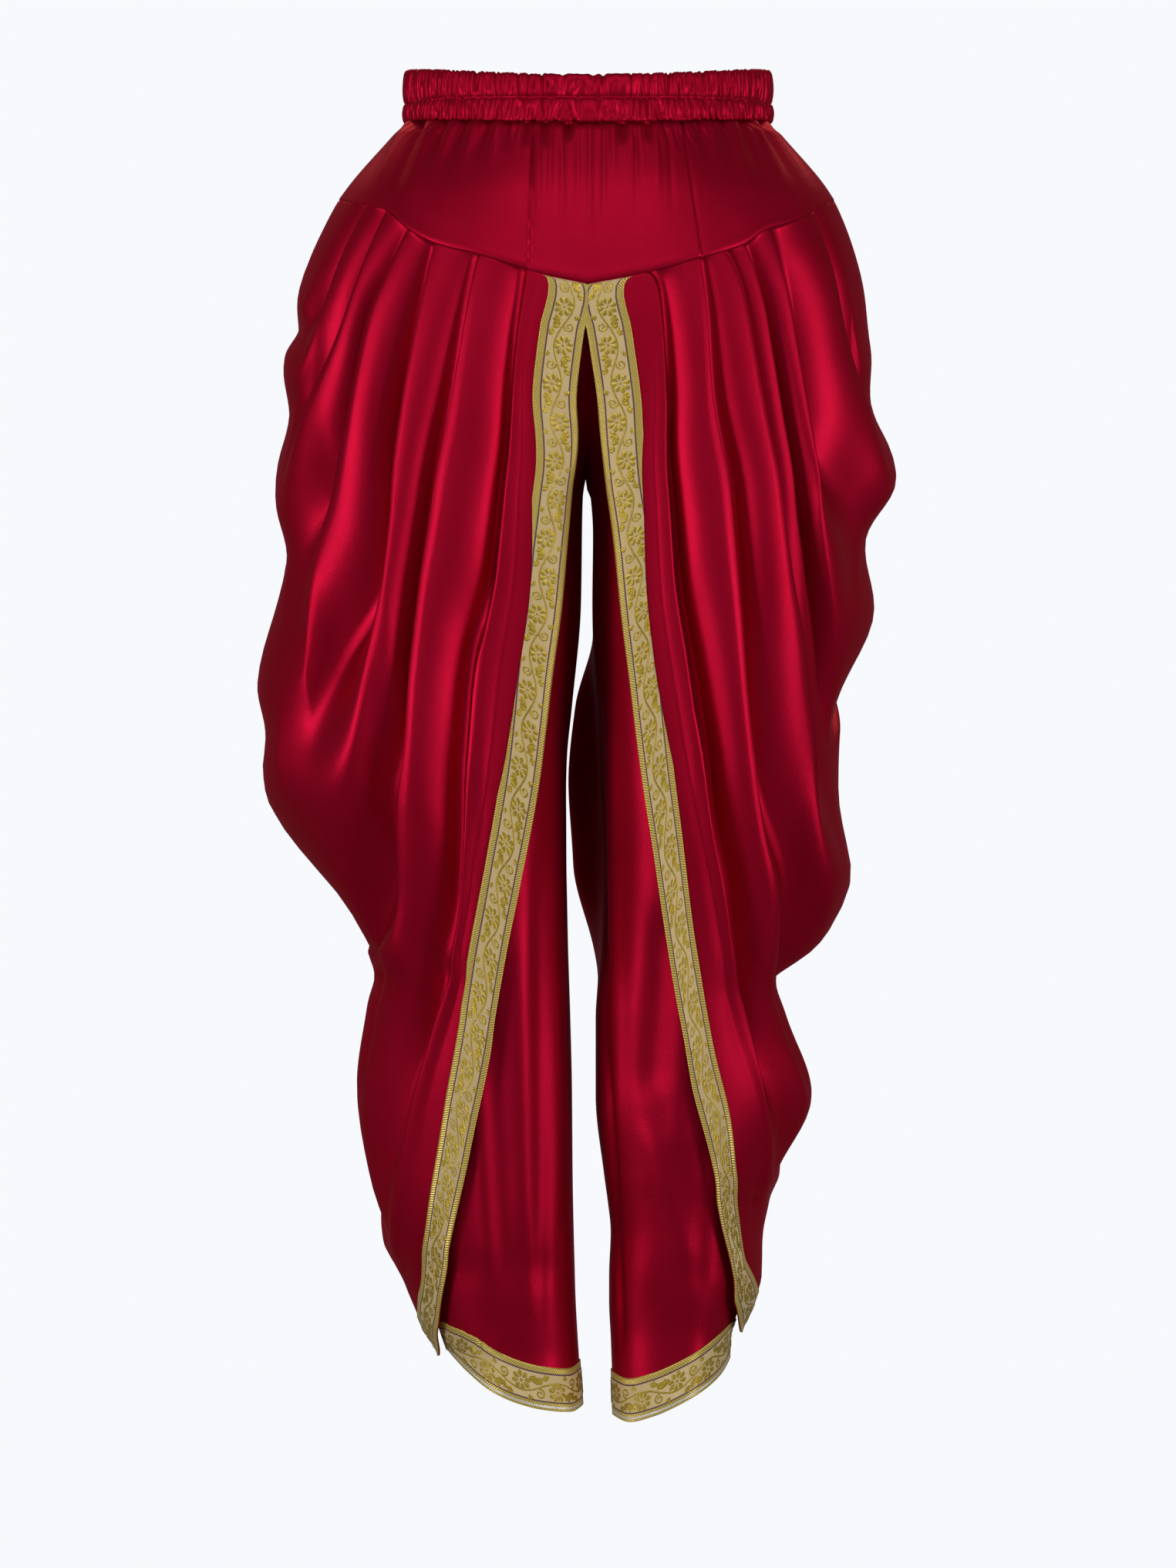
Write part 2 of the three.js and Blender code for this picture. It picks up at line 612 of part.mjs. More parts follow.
function innerLegGrid(leg, behind) {
  const columns = Array.from({ length: LEG_COLUMNS + 1 }, (_, i) => i / LEG_COLUMNS);
  const edges = columns.map((share) => {
    const reachAt = (drop) => Math.abs(innerLegPoint(leg, share, drop, behind).x);
    const top = dropOnEdge(110, reachAt, (reach) => seamDrop(leg, reach, behind)) + SEAM_GAP / 2;
    const hem = dropOnEdge(770, reachAt, (reach) => smoothValue(leg.hem.reach, leg.hem.drop, reach));
    return { share, top, hem };
  });
  const rows = Array.from({ length: LEG_ROWS + 1 }, (_, row) => row / LEG_ROWS);
  const upper = rows.map((down, row) =>
    edges.map(({ share, top, hem }) => {
      const inset = row === 0 ? SATIN_WALL + SEAM_GAP : LEG_INSET;
      return innerLegPoint(leg, share, mix(top, hem - BORDER_WIDTH, down), behind, inset);
    }),
  );
  const strip = [BORDER_WIDTH / 2, 0].map((height) =>
    edges.map(({ share, hem }) => innerLegPoint(leg, share, hem - height, behind)),
  );
  return [...upper, ...strip];
}

function innerLeg(leg, behind) {
  return clothWall(innerLegGrid(leg, behind), SATIN_WALL);
}

// The hem's border runs round the inseam, from the outer ankle in front to the outer ankle behind.
function hemBorder(leg) {
  const front = innerLegGrid(leg, false).slice(-3);
  const back = innerLegGrid(leg, true).slice(-3);
  const edge = front.map((line, i) => {
    const seam = line[0].clone().lerp(back[i][0], 0.5);
    seam.outward = new THREE.Vector3(-leg.sign, 0, 0);
    return [...line.slice(1).reverse(), seam, ...back[i].slice(1)];
  });
  return wallGeometry(moveOut(edge, SEAM_GAP + BORDER_WALL), moveOut(edge, SEAM_GAP));
}

// Assembly

const satin = new THREE.MeshStandardMaterial({ color: 0xa5082a, roughness: 0.35, metalness: 0 });
const brocade = new THREE.MeshStandardMaterial({ color: 0xd0b060, roughness: 0.45, metalness: 0.3 });
const pants = new THREE.Group();

function addPiece(name, geometry, material) {
  const mesh = new THREE.Mesh(geometry, material);
  mesh.name = name;
  pants.add(mesh);
}

addPiece("waistband", waistband(), satin);
addPiece("yoke_front", yoke(false), satin);
addPiece("yoke_back", yoke(true), satin);
for (const leg of [LEFT, RIGHT]) {
  addPiece("drape_" + leg.name, drape(leg), satin);
  addPiece("leg_front_" + leg.name, innerLeg(leg, false), satin);
  addPiece("leg_back_" + leg.name, innerLeg(leg, true), satin);
  addPiece("border_" + leg.name, frontBorder(leg), brocade);
  addPiece("hem_border_" + leg.name, hemBorder(leg), brocade);
}

export default pants;
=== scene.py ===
import math

import bpy
import numpy as np
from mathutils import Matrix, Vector

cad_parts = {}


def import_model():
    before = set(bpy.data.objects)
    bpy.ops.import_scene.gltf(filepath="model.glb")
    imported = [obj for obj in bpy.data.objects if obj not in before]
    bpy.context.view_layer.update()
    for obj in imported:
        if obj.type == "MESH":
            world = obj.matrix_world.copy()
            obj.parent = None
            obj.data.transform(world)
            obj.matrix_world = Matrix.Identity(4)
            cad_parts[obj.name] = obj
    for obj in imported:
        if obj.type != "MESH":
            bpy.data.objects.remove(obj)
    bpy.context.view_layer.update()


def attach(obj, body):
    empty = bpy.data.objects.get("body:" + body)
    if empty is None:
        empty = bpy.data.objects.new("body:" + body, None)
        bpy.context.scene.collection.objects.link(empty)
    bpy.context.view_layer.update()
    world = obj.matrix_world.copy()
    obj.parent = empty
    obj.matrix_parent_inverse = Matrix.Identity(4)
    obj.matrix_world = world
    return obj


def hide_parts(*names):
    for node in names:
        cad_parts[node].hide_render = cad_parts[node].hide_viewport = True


# Satin dhoti pants on the frame's solids. Shapes are worked out in millimetres and made in metres.
# The origin is the middle of the waist. A drop is a distance below it, a reach is a distance outward
# from the middle of the body, and an angle runs round a leg: -90 inner side, 0 front, 90 outer side,
# 180 back, 270 inner side again.

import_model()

MM = 0.001
SATIN_THICKNESS = 0.6
BORDER_THICKNESS = 0.5
SEAM_GAP = 0.3
BORDER_WIDTH = 26
LEG_INSET = 6.6
INNER_POWER = 3
DRAPE_POWER = 5
INNER_TIGHT = 0.45
BACK_FOLD_ANGLE = 240
BACK_FOLD_SPREAD = 30
BACK_SEAM_SHARE = 0.78
EDGE_TRIES = 8
YOKE_SEAM_GUESS = 90
LEG_TOP_GUESS = 110
HEM_GUESS = 770
TINY = 1e-12

# Elastic waistband
BAND_RISE_SIDE = 17.3
BAND_RISE_FRONT = 10.1
BAND_LINE_SIDE = 2.2
BAND_LINE_FRONT = 3.4
BAND_FOOT_SIDE = 12.9
BAND_FOOT_FRONT = 17.9
BAND_PUFF = 2.0
BAND_OUT = 1.0
BAND_LENGTH = 620
BAND_COLUMNS = 1240
BAND_LINING_INSET = 1.0
EDGE_WAVE = 0.7
EDGE_WAVE_ROWS = (2.5, 3)
PUFF_POWER = 0.55
PUCKER_DEPTH = 0.42
PUCKER_PITCH = 2.5
PUCKER_REACH = 0.2

# Fineness of the meshes
CHANNEL_ROWS = 17
YOKE_COLUMNS = 521
YOKE_ROWS = 64
PLEAT_ROWS = 7
FOLD_STEPS = 110
STEP_CROWDING = 1.15
LEG_COLUMNS = 60
LEG_ROWS = 130
HEM_ROWS = 14
RIBBON_BAND_ROWS = 3
BORDER_COLUMNS = 360
HEM_COLUMNS = 200

# Yoke
YOKE_LENGTH = 340
YOKE_FOLD_STRENGTH = 1.35
YOKE_HOLD = 22
TOP_PINCH = 1.6
TOP_PINCH_REACH = 0.03
FINE_GATHER_REACH = 0.13
TUCK_HEIGHT = 0.6
TUCK_SWELL_WIDTH = 9
TUCK_SINK_WIDTH = 4
TUCK_GROOVE = 1.2
TUCK_EDGE_WIDTH = 0.5
SEAM_SWELL = 0.35
SWELL_REACH = 0.06
TURN_IN = 1.9
TURN_IN_REACH = 0.018

# Allowances at the seams
SEAM_ALLOWANCE = 3
ALLOWANCE_INSET = 1.1
YOKE_ALLOWANCE = 5
YOKE_TOP_INSET = 0.4
LEG_EDGE_INSET = 1.4
RISE_LAP = 3

# Pleats and folds of the drapes
PRESSED_DEPTH = 3.6
MIDDLE_DEEPER = 2.1
HOLLOW_POWER = 2.4
DEPTH_PLACES = [0, 0.12, 0.3, 0.55, 1]
VALLEY_BESIDE_EDGE = 0.93
SEAM_PULL_REACH = 0.1
SIDE_ROW_START = 3
BORDER_BACK_END = 1.2
BACK_TURN_POWER = 3


def table(columns, rows):
    return {name: np.array([row[i] for row in rows], float) for i, name in enumerate(columns)}


SECTION_COLUMNS = ["drop", "outer", "centre", "inner", "front", "back", "under", "back_fold"]

# Sections of each leg at drops below the waist: reaches of its outer side, its middle and its inner
# side, depths in front and behind, the reach of the inner leg under the drape, and how far the back
# fold shifts inward. They are the solids' sizes, some of them tuned by a few millimetres.
LEFT_SECTIONS = table(SECTION_COLUMNS, [
    [-20, 107.6, 22, -150, 84, 84, 12, 0],
    [12, 108.2, 22, -150, 84.8, 84.8, 12, 0],
    [21, 116.5, 23.5, -149.5, 87.2, 87.6, 12.4, 0],
    [60, 149, 34, -145, 98, 104, 14, 0],
    [110, 173, 42, -110, 104, 115, 18, 0],
    [145, 182, 46, -52, 106, 119, 21, 0],
    [190, 188, 50, -16, 107, 120, 23, 0],
    [238, 186.5, 56, 0, 107, 117, 23, 0],
    [300, 195, 60, 1, 106, 113, 27, 0],
    [361, 201, 62, 6.4, 105, 111, 35.5, 0],
    [392, 202, 62, 9.4, 103, 108, 40, 0],
    [412, 196, 62, 9.9, 101, 106, 43.5, 0],
    [430, 184, 62, 9.8, 99, 103.5, 47.5, 0],
    [455, 168.5, 62, 9.7, 96, 100, 52.5, 0],
    [476, 160, 61, 9.3, 93, 97, 56.5, 0],
    [505, 155, 60, 8.7, 89, 93, 61, 0],
    [524, 137, 59, 8.1, 86, 89.6, 64, 0],
    [546, 135, 58, 7.4, 83, 86, 67.5, 0],
    [588, 138, 55, 6.4, 77, 79, 76, 0],
    [640, 133.5, 52, 6, 69, 70, 84.5, 0],
    [680, 121, 50, 5.2, 63, 63, 92, 0],
    [694, 113, 49.5, 4.8, 60, 60, 92, 0],
    [710, 107, 49, 4.4, 58, 58, 92, 0],
    [730, 99, 48.5, 3.4, 54, 54, 88, 0],
    [749, 89, 48, 2.2, 50, 50, 83, 0],
    [790, 87, 48, -0.6, 48, 48, 82, 0],
])
RIGHT_SECTIONS = table(SECTION_COLUMNS, [
    [-20, 107.6, 22, -150, 84, 84, 12, 0],
    [12, 108.2, 22, -150, 84.8, 84.8, 12, 0],
    [21, 116, 23.5, -149.5, 87.2, 87.6, 12.4, 0],
    [60, 147, 34, -145, 98, 104, 14, 0],
    [110, 165, 42, -110, 104, 115, 18, 0],
    [145, 170, 46, -52, 106, 119, 20, 0],
    [190, 178, 50, -16, 107, 120, 22.5, 0],
    [228, 184, 54, -2.6, 107, 118, 23, 0],
    [259, 180, 57, -0.2, 107, 116, 25, 0],
    [300, 172, 60, -0.6, 106, 113, 28.5, 0],
    [361, 160, 62, 1.4, 104, 110, 36.5, 19],
    [412, 158, 62, 3.4, 101, 106, 45.7, 25],
    [455, 160, 62, 5.4, 96, 100, 53.5, 24],
    [505, 138, 62, 4.4, 89, 93, 62.3, 10],
    [532, 122, 62, 2.2, 85, 88.4, 67.4, 2],
    [546, 123, 62, 1.4, 83, 86, 70.5, 0],
    [593, 133.5, 61, 1.4, 76, 78, 79, 0],
    [640, 116, 60, 6.4, 69, 70, 88, 0],
    [656, 106, 59.5, 8.6, 66, 66.5, 91, 0],
    [674, 103.5, 59, 10.4, 63, 63, 93, 0],
    [700, 103.5, 58, 9.4, 59, 59, 93, 0],
    [716, 99, 57.8, 9.4, 56, 56, 90, 0],
    [737, 91, 57.5, 10.4, 52, 52, 86, 0],
    [790, 90, 57, 12.2, 49, 49, 85, 0],
])

# Lower seam of the yoke in front, from the middle to the side.
LEFT_SEAM = table(
    ["reach", "drop"],
    [[0, 114.3], [28.5, 108.3], [63, 97.7], [90, 90.3], [105, 82.3], [120, 69], [146, 61.8], [150, 59]],
)
RIGHT_SEAM = table(
    ["reach", "drop"],
    [[0, 114.3], [34.4, 107.9], [66.4, 99.2], [91.4, 91.1], [105.5, 81.5], [120, 76.5], [148, 60]],
)

# Lower edge of each inner leg, from the inseam to the outer ankle.
LEFT_HEM = table(
    ["reach", "drop"],
    [[2.5, 776], [10.5, 779.7], [26.5, 778], [42, 774], [57, 767], [72, 755], [83, 744]],
)
RIGHT_HEM = table(
    ["reach", "drop"],
    [[14.6, 782], [24.6, 785.5], [38.3, 782], [52, 776], [65.8, 768], [78, 758], [86, 746]],
)

# Folds of each drape, from the side of the hip to the front edge: reach at the seam, angle and drop
# of the lowest point, how far it sinks inward there, where the valley beside it lies at the seam,
# halfway and at the side, the valley's depth halfway and at the side, and the reaches at FOLD_DROPS.
FOLD_DROPS = [130, 180, 230, 280, 335, 390, 440, 500, 550, 600, 650, 690, 715, 730]
FOLD_PARTS = ["seam", "low_angle", "low_drop", "sink", "share", "depth", "reaches"]


def fold(*values):
    return dict(zip(FOLD_PARTS, values))


LEFT_FOLDS = [
    fold(141, 74, 122, 2, [0.8, 0.5, 0.35], [3, 4], []),
    fold(131, 68, 160, 3, [0.85, 0.5, 0.3], [5, 6], [160]),
    fold(118.7, 80, 240, 0, [0.9, 0.6, 0.3], [8, 8], [143.5, 165]),
    fold(105, 62, 350, 3, [0.9, 0.5, 0.3], [12, 1], [129.5, 141, 151, 164.5, 169]),
    fold(90, 63, 441, 0, [0.9, 0.6, 0.52], [10, 27], [99.5, 109, 115.5, 120, 129.8, 142]),
    fold(63, 76, 600, 0, [0.93, 0.75, 0.75], [9, 5],
         [70.6, 79.7, 90, 97.5, 104.4, 108.5, 112, 116, 127]),
    fold(35, 80, 692, -2.2, [0.5, 0.5, 0.5], [0.6, 0.6],
         [39, 44, 48, 53, 64.5, 70, 72.5, 78, 90, 104, 113]),
]
RIGHT_FOLDS = [
    fold(141, 72, 150, 2, [0.8, 0.5, 0.35], [4, 5], [158]),
    fold(133, 78, 230, 0, [0.9, 0.6, 0.34], [8, 12], [150.5, 165]),
    fold(106, 62, 318, 0, [0.9, 0.6, 0.9], [9, 2], [120.5, 129, 136.5, 142.5]),
    fold(91.5, 70, 388, 9, [0.8, 0.5, 0.2], [3, 1], [105, 114, 123, 130.8, 141]),
    fold(80, 82, 496, 0, [0.8, 0.4, 0.4], [9, 20], [94, 103, 113, 120, 129, 135, 139]),
    fold(66, 77, 598, 0, [0.93, 0.8, 0.6], [10, 5],
         [69.5, 73, 82.5, 87.5, 92.3, 97.8, 104, 110, 115]),
    fold(34.5, 80, 660, -2.2, [0.5, 0.5, 0.5], [0.6, 0.6],
         [42.5, 45.8, 46.5, 50, 58, 67, 74, 84, 94, 104]),
]
LEFT_BORDER = [
    fold(29, 88, 723, 0, [0.5, 0.5, 0.5], [0, 0],
         [31.3, 34.4, 32.7, 33, 39.5, 48, 59, 69.3, 76.8, 87.8, 94.5, 100, 102.3]),
    fold(1, 86, 748, 0, [0.5, 0.5, 0.5], [0, 0],
         [4.7, 6.8, 9, 13.5, 19.8, 26.5, 34.5, 46.6, 55.3, 64.4, 75, 82.7, 87, 89]),
]
RIGHT_BORDER = [
    fold(27.4, 88, 708, 0, [0.5, 0.5, 0.5], [0, 0],
         [30, 33.9, 31.8, 33.6, 38.8, 48.7, 60.4, 71.7, 81.7, 91, 98, 101]),
    fold(0.6, 86, 734, 0, [0.5, 0.5, 0.5], [0, 0],
         [2.3, 5.3, 10.5, 16.8, 22.9, 29.7, 37.2, 46.2, 55, 64.8, 75.7, 84.2, 87]),
]

LEG_PARTS = ["name", "sign", "sections", "seam", "hem", "folds", "border"]
LEFT = dict(zip(LEG_PARTS, ("left", -1, LEFT_SECTIONS, LEFT_SEAM, LEFT_HEM, LEFT_FOLDS, LEFT_BORDER)))
RIGHT = dict(zip(
    LEG_PARTS, ("right", 1, RIGHT_SECTIONS, RIGHT_SEAM, RIGHT_HEM, RIGHT_FOLDS, RIGHT_BORDER)))


# Small helpers

def mix(a, b, share):
    return a + (b - a) * share


def ease(share):
    return (1 - np.cos(np.pi * np.clip(share, 0, 1))) / 2


def sine(degrees):
    return np.sin(np.radians(degrees))


def cosine(degrees):
    return np.cos(np.radians(degrees))


def smooth_value(xs, ys, x):
    """Value at x of a smooth curve through the points, which never overshoots them."""
    xs = np.asarray(xs, float)
    ys = np.asarray(ys, float)
    x = np.clip(np.asarray(x, float), xs[0], xs[-1])
    step = np.diff(xs)
    slope = np.diff(ys) / step
    before, after = slope[:-1], slope[1:]
    same = before * after > 0
    total = np.where(same, before + after, 1)
    middle = np.where(same, 2 * before * after / total, 0)
    tangent = np.concatenate([slope[:1], middle, slope[-1:]])
    i = np.clip(np.searchsorted(xs, x, side="right") - 1, 0, len(xs) - 2)
    u = (x - xs[i]) / step[i]
    bend = 3 * u**2 - 2 * u**3
    leave = u * (1 - u) ** 2 * tangent[i]
    arrive = u**2 * (u - 1) * tangent[i + 1]
    return mix(ys[i], ys[i + 1], bend) + step[i] * (leave + arrive)


# Sections of a leg

def section_at(leg, drop, tight=0):
    sections = leg["sections"]

    def value(column):
        return smooth_value(sections["drop"], sections[column], drop)

    centre = value("centre")
    return {
        "centre": centre,
        "outer_half": value("outer") - centre - tight,
        "inner_half": centre - value("inner") - tight * INNER_TIGHT,
        "front": value("front") - tight,
        "back": value("back") - tight,
        "under": value("under"),
        "back_fold": value("back_fold"),
    }


def leg_point(leg, angle, drop, out=0, tight=0):
    """Points round a leg at angles and drops, moved outward level from the section, and their normals."""
    angle, drop, out = np.broadcast_arrays(*(np.asarray(v, float) for v in (angle, drop, out)))
    section = section_at(leg, drop, tight)
    across = sine(angle)
    outside = across > 0
    half = np.where(outside, section["outer_half"], section["inner_half"])
    power = np.where(outside, 2, INNER_POWER if tight > 0 else DRAPE_POWER)
    depth = np.where(cosine(angle) > 0, -section["front"], section["back"])
    size = np.abs(across)
    along = np.clip(1 - size**power, 0, 1) ** (1 / power)
    normal_x = np.sign(across) * size ** (power - 1) / half
    normal_y = along ** (power - 1) / depth
    length = np.hypot(normal_x, normal_y) + TINY
    normal_x, normal_y = normal_x / length, normal_y / length
    near_fold = np.clip((angle - BACK_FOLD_ANGLE) / BACK_FOLD_SPREAD, -1, 1)
    shift = section["back_fold"] * ease(1 - np.abs(near_fold))
    reach = section["centre"] + half * across - shift + normal_x * out
    points = np.stack([leg["sign"] * reach, depth * along + normal_y * out, -drop], axis=-1)
    outward = np.stack([leg["sign"] * normal_x, normal_y, np.zeros_like(normal_x)], axis=-1)
    return points, outward


def angle_at_reach(section, reach):
    offset = reach - section["centre"]
    half = np.where(offset > 0, section["outer_half"], section["inner_half"])
    return np.degrees(np.arcsin(np.clip(offset / half, -1, 1)))


def reach_at_angle(section, angle):
    across = sine(angle)
    return section["centre"] + across * np.where(across > 0, section["outer_half"], section["inner_half"])


def seam_drop(leg, reach, behind):
    """Drop of the yoke's lower seam on one side at a reach, in front or behind."""
    front = smooth_value(leg["seam"]["reach"], leg["seam"]["drop"], reach)
    side = leg["seam"]["drop"][-1]
    return np.where(behind, mix(side, front, BACK_SEAM_SHARE), front)


def drop_on_edge(first, reach_at, edge_drop):
    """Finds the drop where a column's reach meets an edge that is given by reach."""
    drop = first
    for _ in range(EDGE_TRIES):
        drop = edge_drop(reach_at(drop))
    return drop


# Meshes

def surface_normals(grid, outward):
    normals = np.cross(np.gradient(grid, axis=0), np.gradient(grid, axis=1))
    normals /= np.linalg.norm(normals, axis=-1, keepdims=True) + TINY
    flip = np.sign(np.sum(normals * outward, axis=-1, keepdims=True))
    return normals * np.where(flip == 0, 1, flip)


def grid_faces(rows, columns, closed=False):
    spans = columns if closed else columns - 1
    row, column = np.meshgrid(np.arange(rows - 1), np.arange(spans), indexing="ij")
    following = (column + 1) % columns
    corners = [
        row * columns + column,
        (row + 1) * columns + column,
        (row + 1) * columns + following,
        row * columns + following,
    ]
    return np.stack(corners, axis=-1).reshape(-1, 4)


def add_object(name, data):
    thing = bpy.data.objects.new(name, data)
    bpy.context.scene.collection.objects.link(thing)
    return thing


def mesh_object(name, points, faces, slots, uvs, face_slots=None):
    """A smooth mesh from points in millimetres. uvs are one pair a point, in metres along the cloth."""
    mesh = bpy.data.meshes.new(name)
    mesh.from_pydata((np.asarray(points) * MM).tolist(), [], [list(map(int, face)) for face in faces])
    layer = mesh.uv_layers.new(name="cloth")
    corner_points = np.empty(len(mesh.loops), dtype=np.int32)
    mesh.loops.foreach_get("vertex_index", corner_points)
    layer.data.foreach_set("uv", np.asarray(uvs, float)[corner_points].ravel())
    for slot in slots:
        mesh.materials.append(slot)
    if face_slots is not None:
        mesh.polygons.foreach_set("material_index", np.asarray(face_slots, dtype=np.int32))
    mesh.polygons.foreach_set("use_smooth", np.full(len(mesh.polygons), True))
    mesh.update()
    piece = add_object(name, mesh)
    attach(piece, "root")
    return piece


def uv_pairs(across, below):
    """UVs of a grid in metres, from the places of its columns and rows in millimetres."""
    u, v = np.meshgrid(across * MM, below * MM)
    return np.stack([u, v], axis=-1).reshape(-1, 2)


def cloth_lengths(grid):
    """UVs from the mean distances along the rows and down the columns of a grid."""
    along = np.linalg.norm(np.diff(grid, axis=1), axis=-1).mean(axis=0)
    down = np.linalg.norm(np.diff(grid, axis=0), axis=-1).mean(axis=1)
    return uv_pairs(np.concatenate([[0], np.cumsum(along)]), np.concatenate([[0], np.cumsum(down)]))


def turned_out(grid, outward, faces):
    """Faces turned so that they face outward."""
    a, b, d = (grid.reshape(-1, 3)[faces[:, i]] for i in (0, 1, 3))
    facing = np.sum(np.cross(b - a, d - a) * outward.reshape(-1, 3)[faces[:, 0]], axis=-1)
    return faces[:, ::-1] if facing.sum() < 0 else faces


def shell(name, grid, outward, slots, uvs, thickness=SATIN_THICKNESS, face_slots=None):
    """A thin cloth shell: the grid is its outer face."""
    faces = turned_out(grid, outward, grid_faces(*grid.shape[:2]))
    piece = mesh_object(name, grid.reshape(-1, 3), faces, slots, uvs, face_slots)
    solid = piece.modifiers.new("cloth thickness", "SOLIDIFY")
    solid.thickness = thickness * MM
    solid.offset = -1
    return piece


def satin_shell(name, grid, outward, **sheet):
    """A satin piece in place of the solid of that name. What is said of its sheet is not used."""
    piece = shell(name + "_satin", grid, outward, [SATIN], cloth_lengths(grid))
    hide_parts(name)


# Materials

def new_material(name):
    material = bpy.data.materials.new(name)
    material.use_nodes = True
    tree = material.node_tree
    return material, tree, tree.nodes["Principled BSDF"]


def linear(red, green, blue):
    """A display colour out of 255 as the renderer's linear one."""
    def channel(value):
        value /= 255
        return value / 12.92 if value <= 0.04045 else ((value + 0.055) / 1.055) ** 2.4

    return (channel(red), channel(green), channel(blue), 1)


def set_inputs(node, values):
    for socket, value in values.items():
        node.inputs[socket].default_value = value


def add_tones(tree, shader, pattern, dark, light, first=0, last=1):
    """The base colour runs from dark to light with a pattern, between two of its values."""
    tone = tree.nodes.new("ShaderNodeValToRGB")
    for element, position, colour in zip(tone.color_ramp.elements, (first, last), (dark, light)):
        element.position = position
        element.color = colour
    tree.links.new(pattern, tone.inputs["Fac"])
    tree.links.new(tone.outputs["Color"], shader.inputs["Base Color"])


def add_relief(tree, shader, pattern, strength, depth):
    relief = tree.nodes.new("ShaderNodeBump")
    set_inputs(relief, {"Strength": strength, "Distance": depth})
    tree.links.new(pattern, relief.inputs["Height"])
    tree.links.new(relief.outputs["Normal"], shader.inputs["Normal"])


def satin_material():
    material, tree, shader = new_material("satin")
    nodes, links = tree.nodes, tree.links
    place = nodes.new("ShaderNodeTexCoord")
    cloud = nodes.new("ShaderNodeTexNoise")
    set_inputs(cloud, {"Scale": 14, "Detail": 3})
    links.new(place.outputs["Object"], cloud.inputs["Vector"])
    add_tones(tree, shader, cloud.outputs["Fac"], linear(168, 8, 40), linear(177, 11, 45), 0.3, 0.7)
    set_inputs(shader, {
        "Metallic": 0.72,
        "Roughness": 0.41,
        "Specular IOR Level": 0.3,
        "Specular Tint": linear(235, 90, 130),
        "Anisotropic": 0.35,
        "Sheen Weight": 0.06,
        "Sheen Roughness": 0.4,
        "Sheen Tint": linear(225, 40, 80),
    })
    # Fine twill of the satin and a little unevenness of the thread
    stretch = nodes.new("ShaderNodeMapping")
    set_inputs(stretch, {"Scale": (1, 5, 1)})
    links.new(place.outputs["UV"], stretch.inputs["Vector"])
    thread = nodes.new("ShaderNodeTexNoise")
    set_inputs(thread, {"Scale": 500, "Detail": 2})
    links.new(stretch.outputs["Vector"], thread.inputs["Vector"])
    add_relief(tree, shader, thread.outputs["Fac"], strength=0.25, depth=0.0003)
    return material


def ribbed_material(name, dark, light, metallic, roughness, ribs_per_metre, slant, depth):
    """A woven ribbon's band: fine slanting ribs in two tones. Its UVs are metres along the ribbon."""
    material, tree, shader = new_material(name)
    nodes, links = tree.nodes, tree.links
    place = nodes.new("ShaderNodeTexCoord")
    turn = nodes.new("ShaderNodeMapping")
    set_inputs(turn, {"Rotation": (0, 0, math.radians(slant))})
    links.new(place.outputs["UV"], turn.inputs["Vector"])
    wave = nodes.new("ShaderNodeTexWave")
    set_inputs(wave, {"Scale": ribs_per_metre * math.pi / 10, "Distortion": 0.4})
    links.new(turn.outputs["Vector"], wave.inputs["Vector"])
    add_tones(tree, shader, wave.outputs["Fac"], dark, light)
    add_relief(tree, shader, wave.outputs["Fac"], strength=0.6, depth=depth)
    set_inputs(shader, {"Metallic": metallic, "Roughness": roughness})
    return material


SATIN = satin_material()

# Each band's name, dark and light tone, metallic, roughness, ribs a metre, their slant and depth
EDGE_GOLD = ribbed_material(
    "ribbon_edge", linear(172, 138, 42), linear(246, 220, 122), 0.4, 0.36, 900, 42, 0.0003)
LINE_PURPLE = ribbed_material(
    "ribbon_line", linear(84, 56, 70), linear(126, 88, 96), 0, 0.6, 1400, 0, 0.0001)
GROUND = ribbed_material(
    "ribbon_ground", linear(218, 186, 124), linear(240, 212, 156), 0.15, 0.4, 2200, 0, 0.0001)
MOTIF_GOLD = ribbed_material(
    "ribbon_motif", linear(158, 124, 26), linear(226, 196, 78), 0.62, 0.3, 1700, 60, 0.0002)
SILVER = ribbed_material(
    "ribbon_silver", linear(214, 208, 196), linear(245, 241, 232), 0.4, 0.35, 1500, 0, 0.0001)


# Waistband and yoke: a turn runs round one side of the body, 0 at the front middle, 1 at the back middle

def front_dip(turn):
    return np.where(turn < 0.5, ease(1 - turn * 2), 0)


def band_drop(side, front, turn):
    return mix(side, front, front_dip(turn))


def ring_point(leg, turn, drop, out):
    middle = angle_at_reach(section_at(leg, drop), 0)
    return leg_point(leg, mix(middle, 180 - middle, turn), drop, out)


def ring_points(on_left, turn, drops, out):
    """Points round the whole body and their normals. drops are the left side's and the right side's."""
    sides = [ring_point(leg, turn[None, :], drop, out) for leg, drop in zip((LEFT, RIGHT), drops)]
    return (np.where(on_left[None, :, None], *pair) for pair in zip(*sides))


def ring_turns(share):
    """The side and the turn of places all round the body, share 0 at the front middle."""
    left = share <= 0.5
    return left, np.where(left, share * 2, (1 - share) * 2)


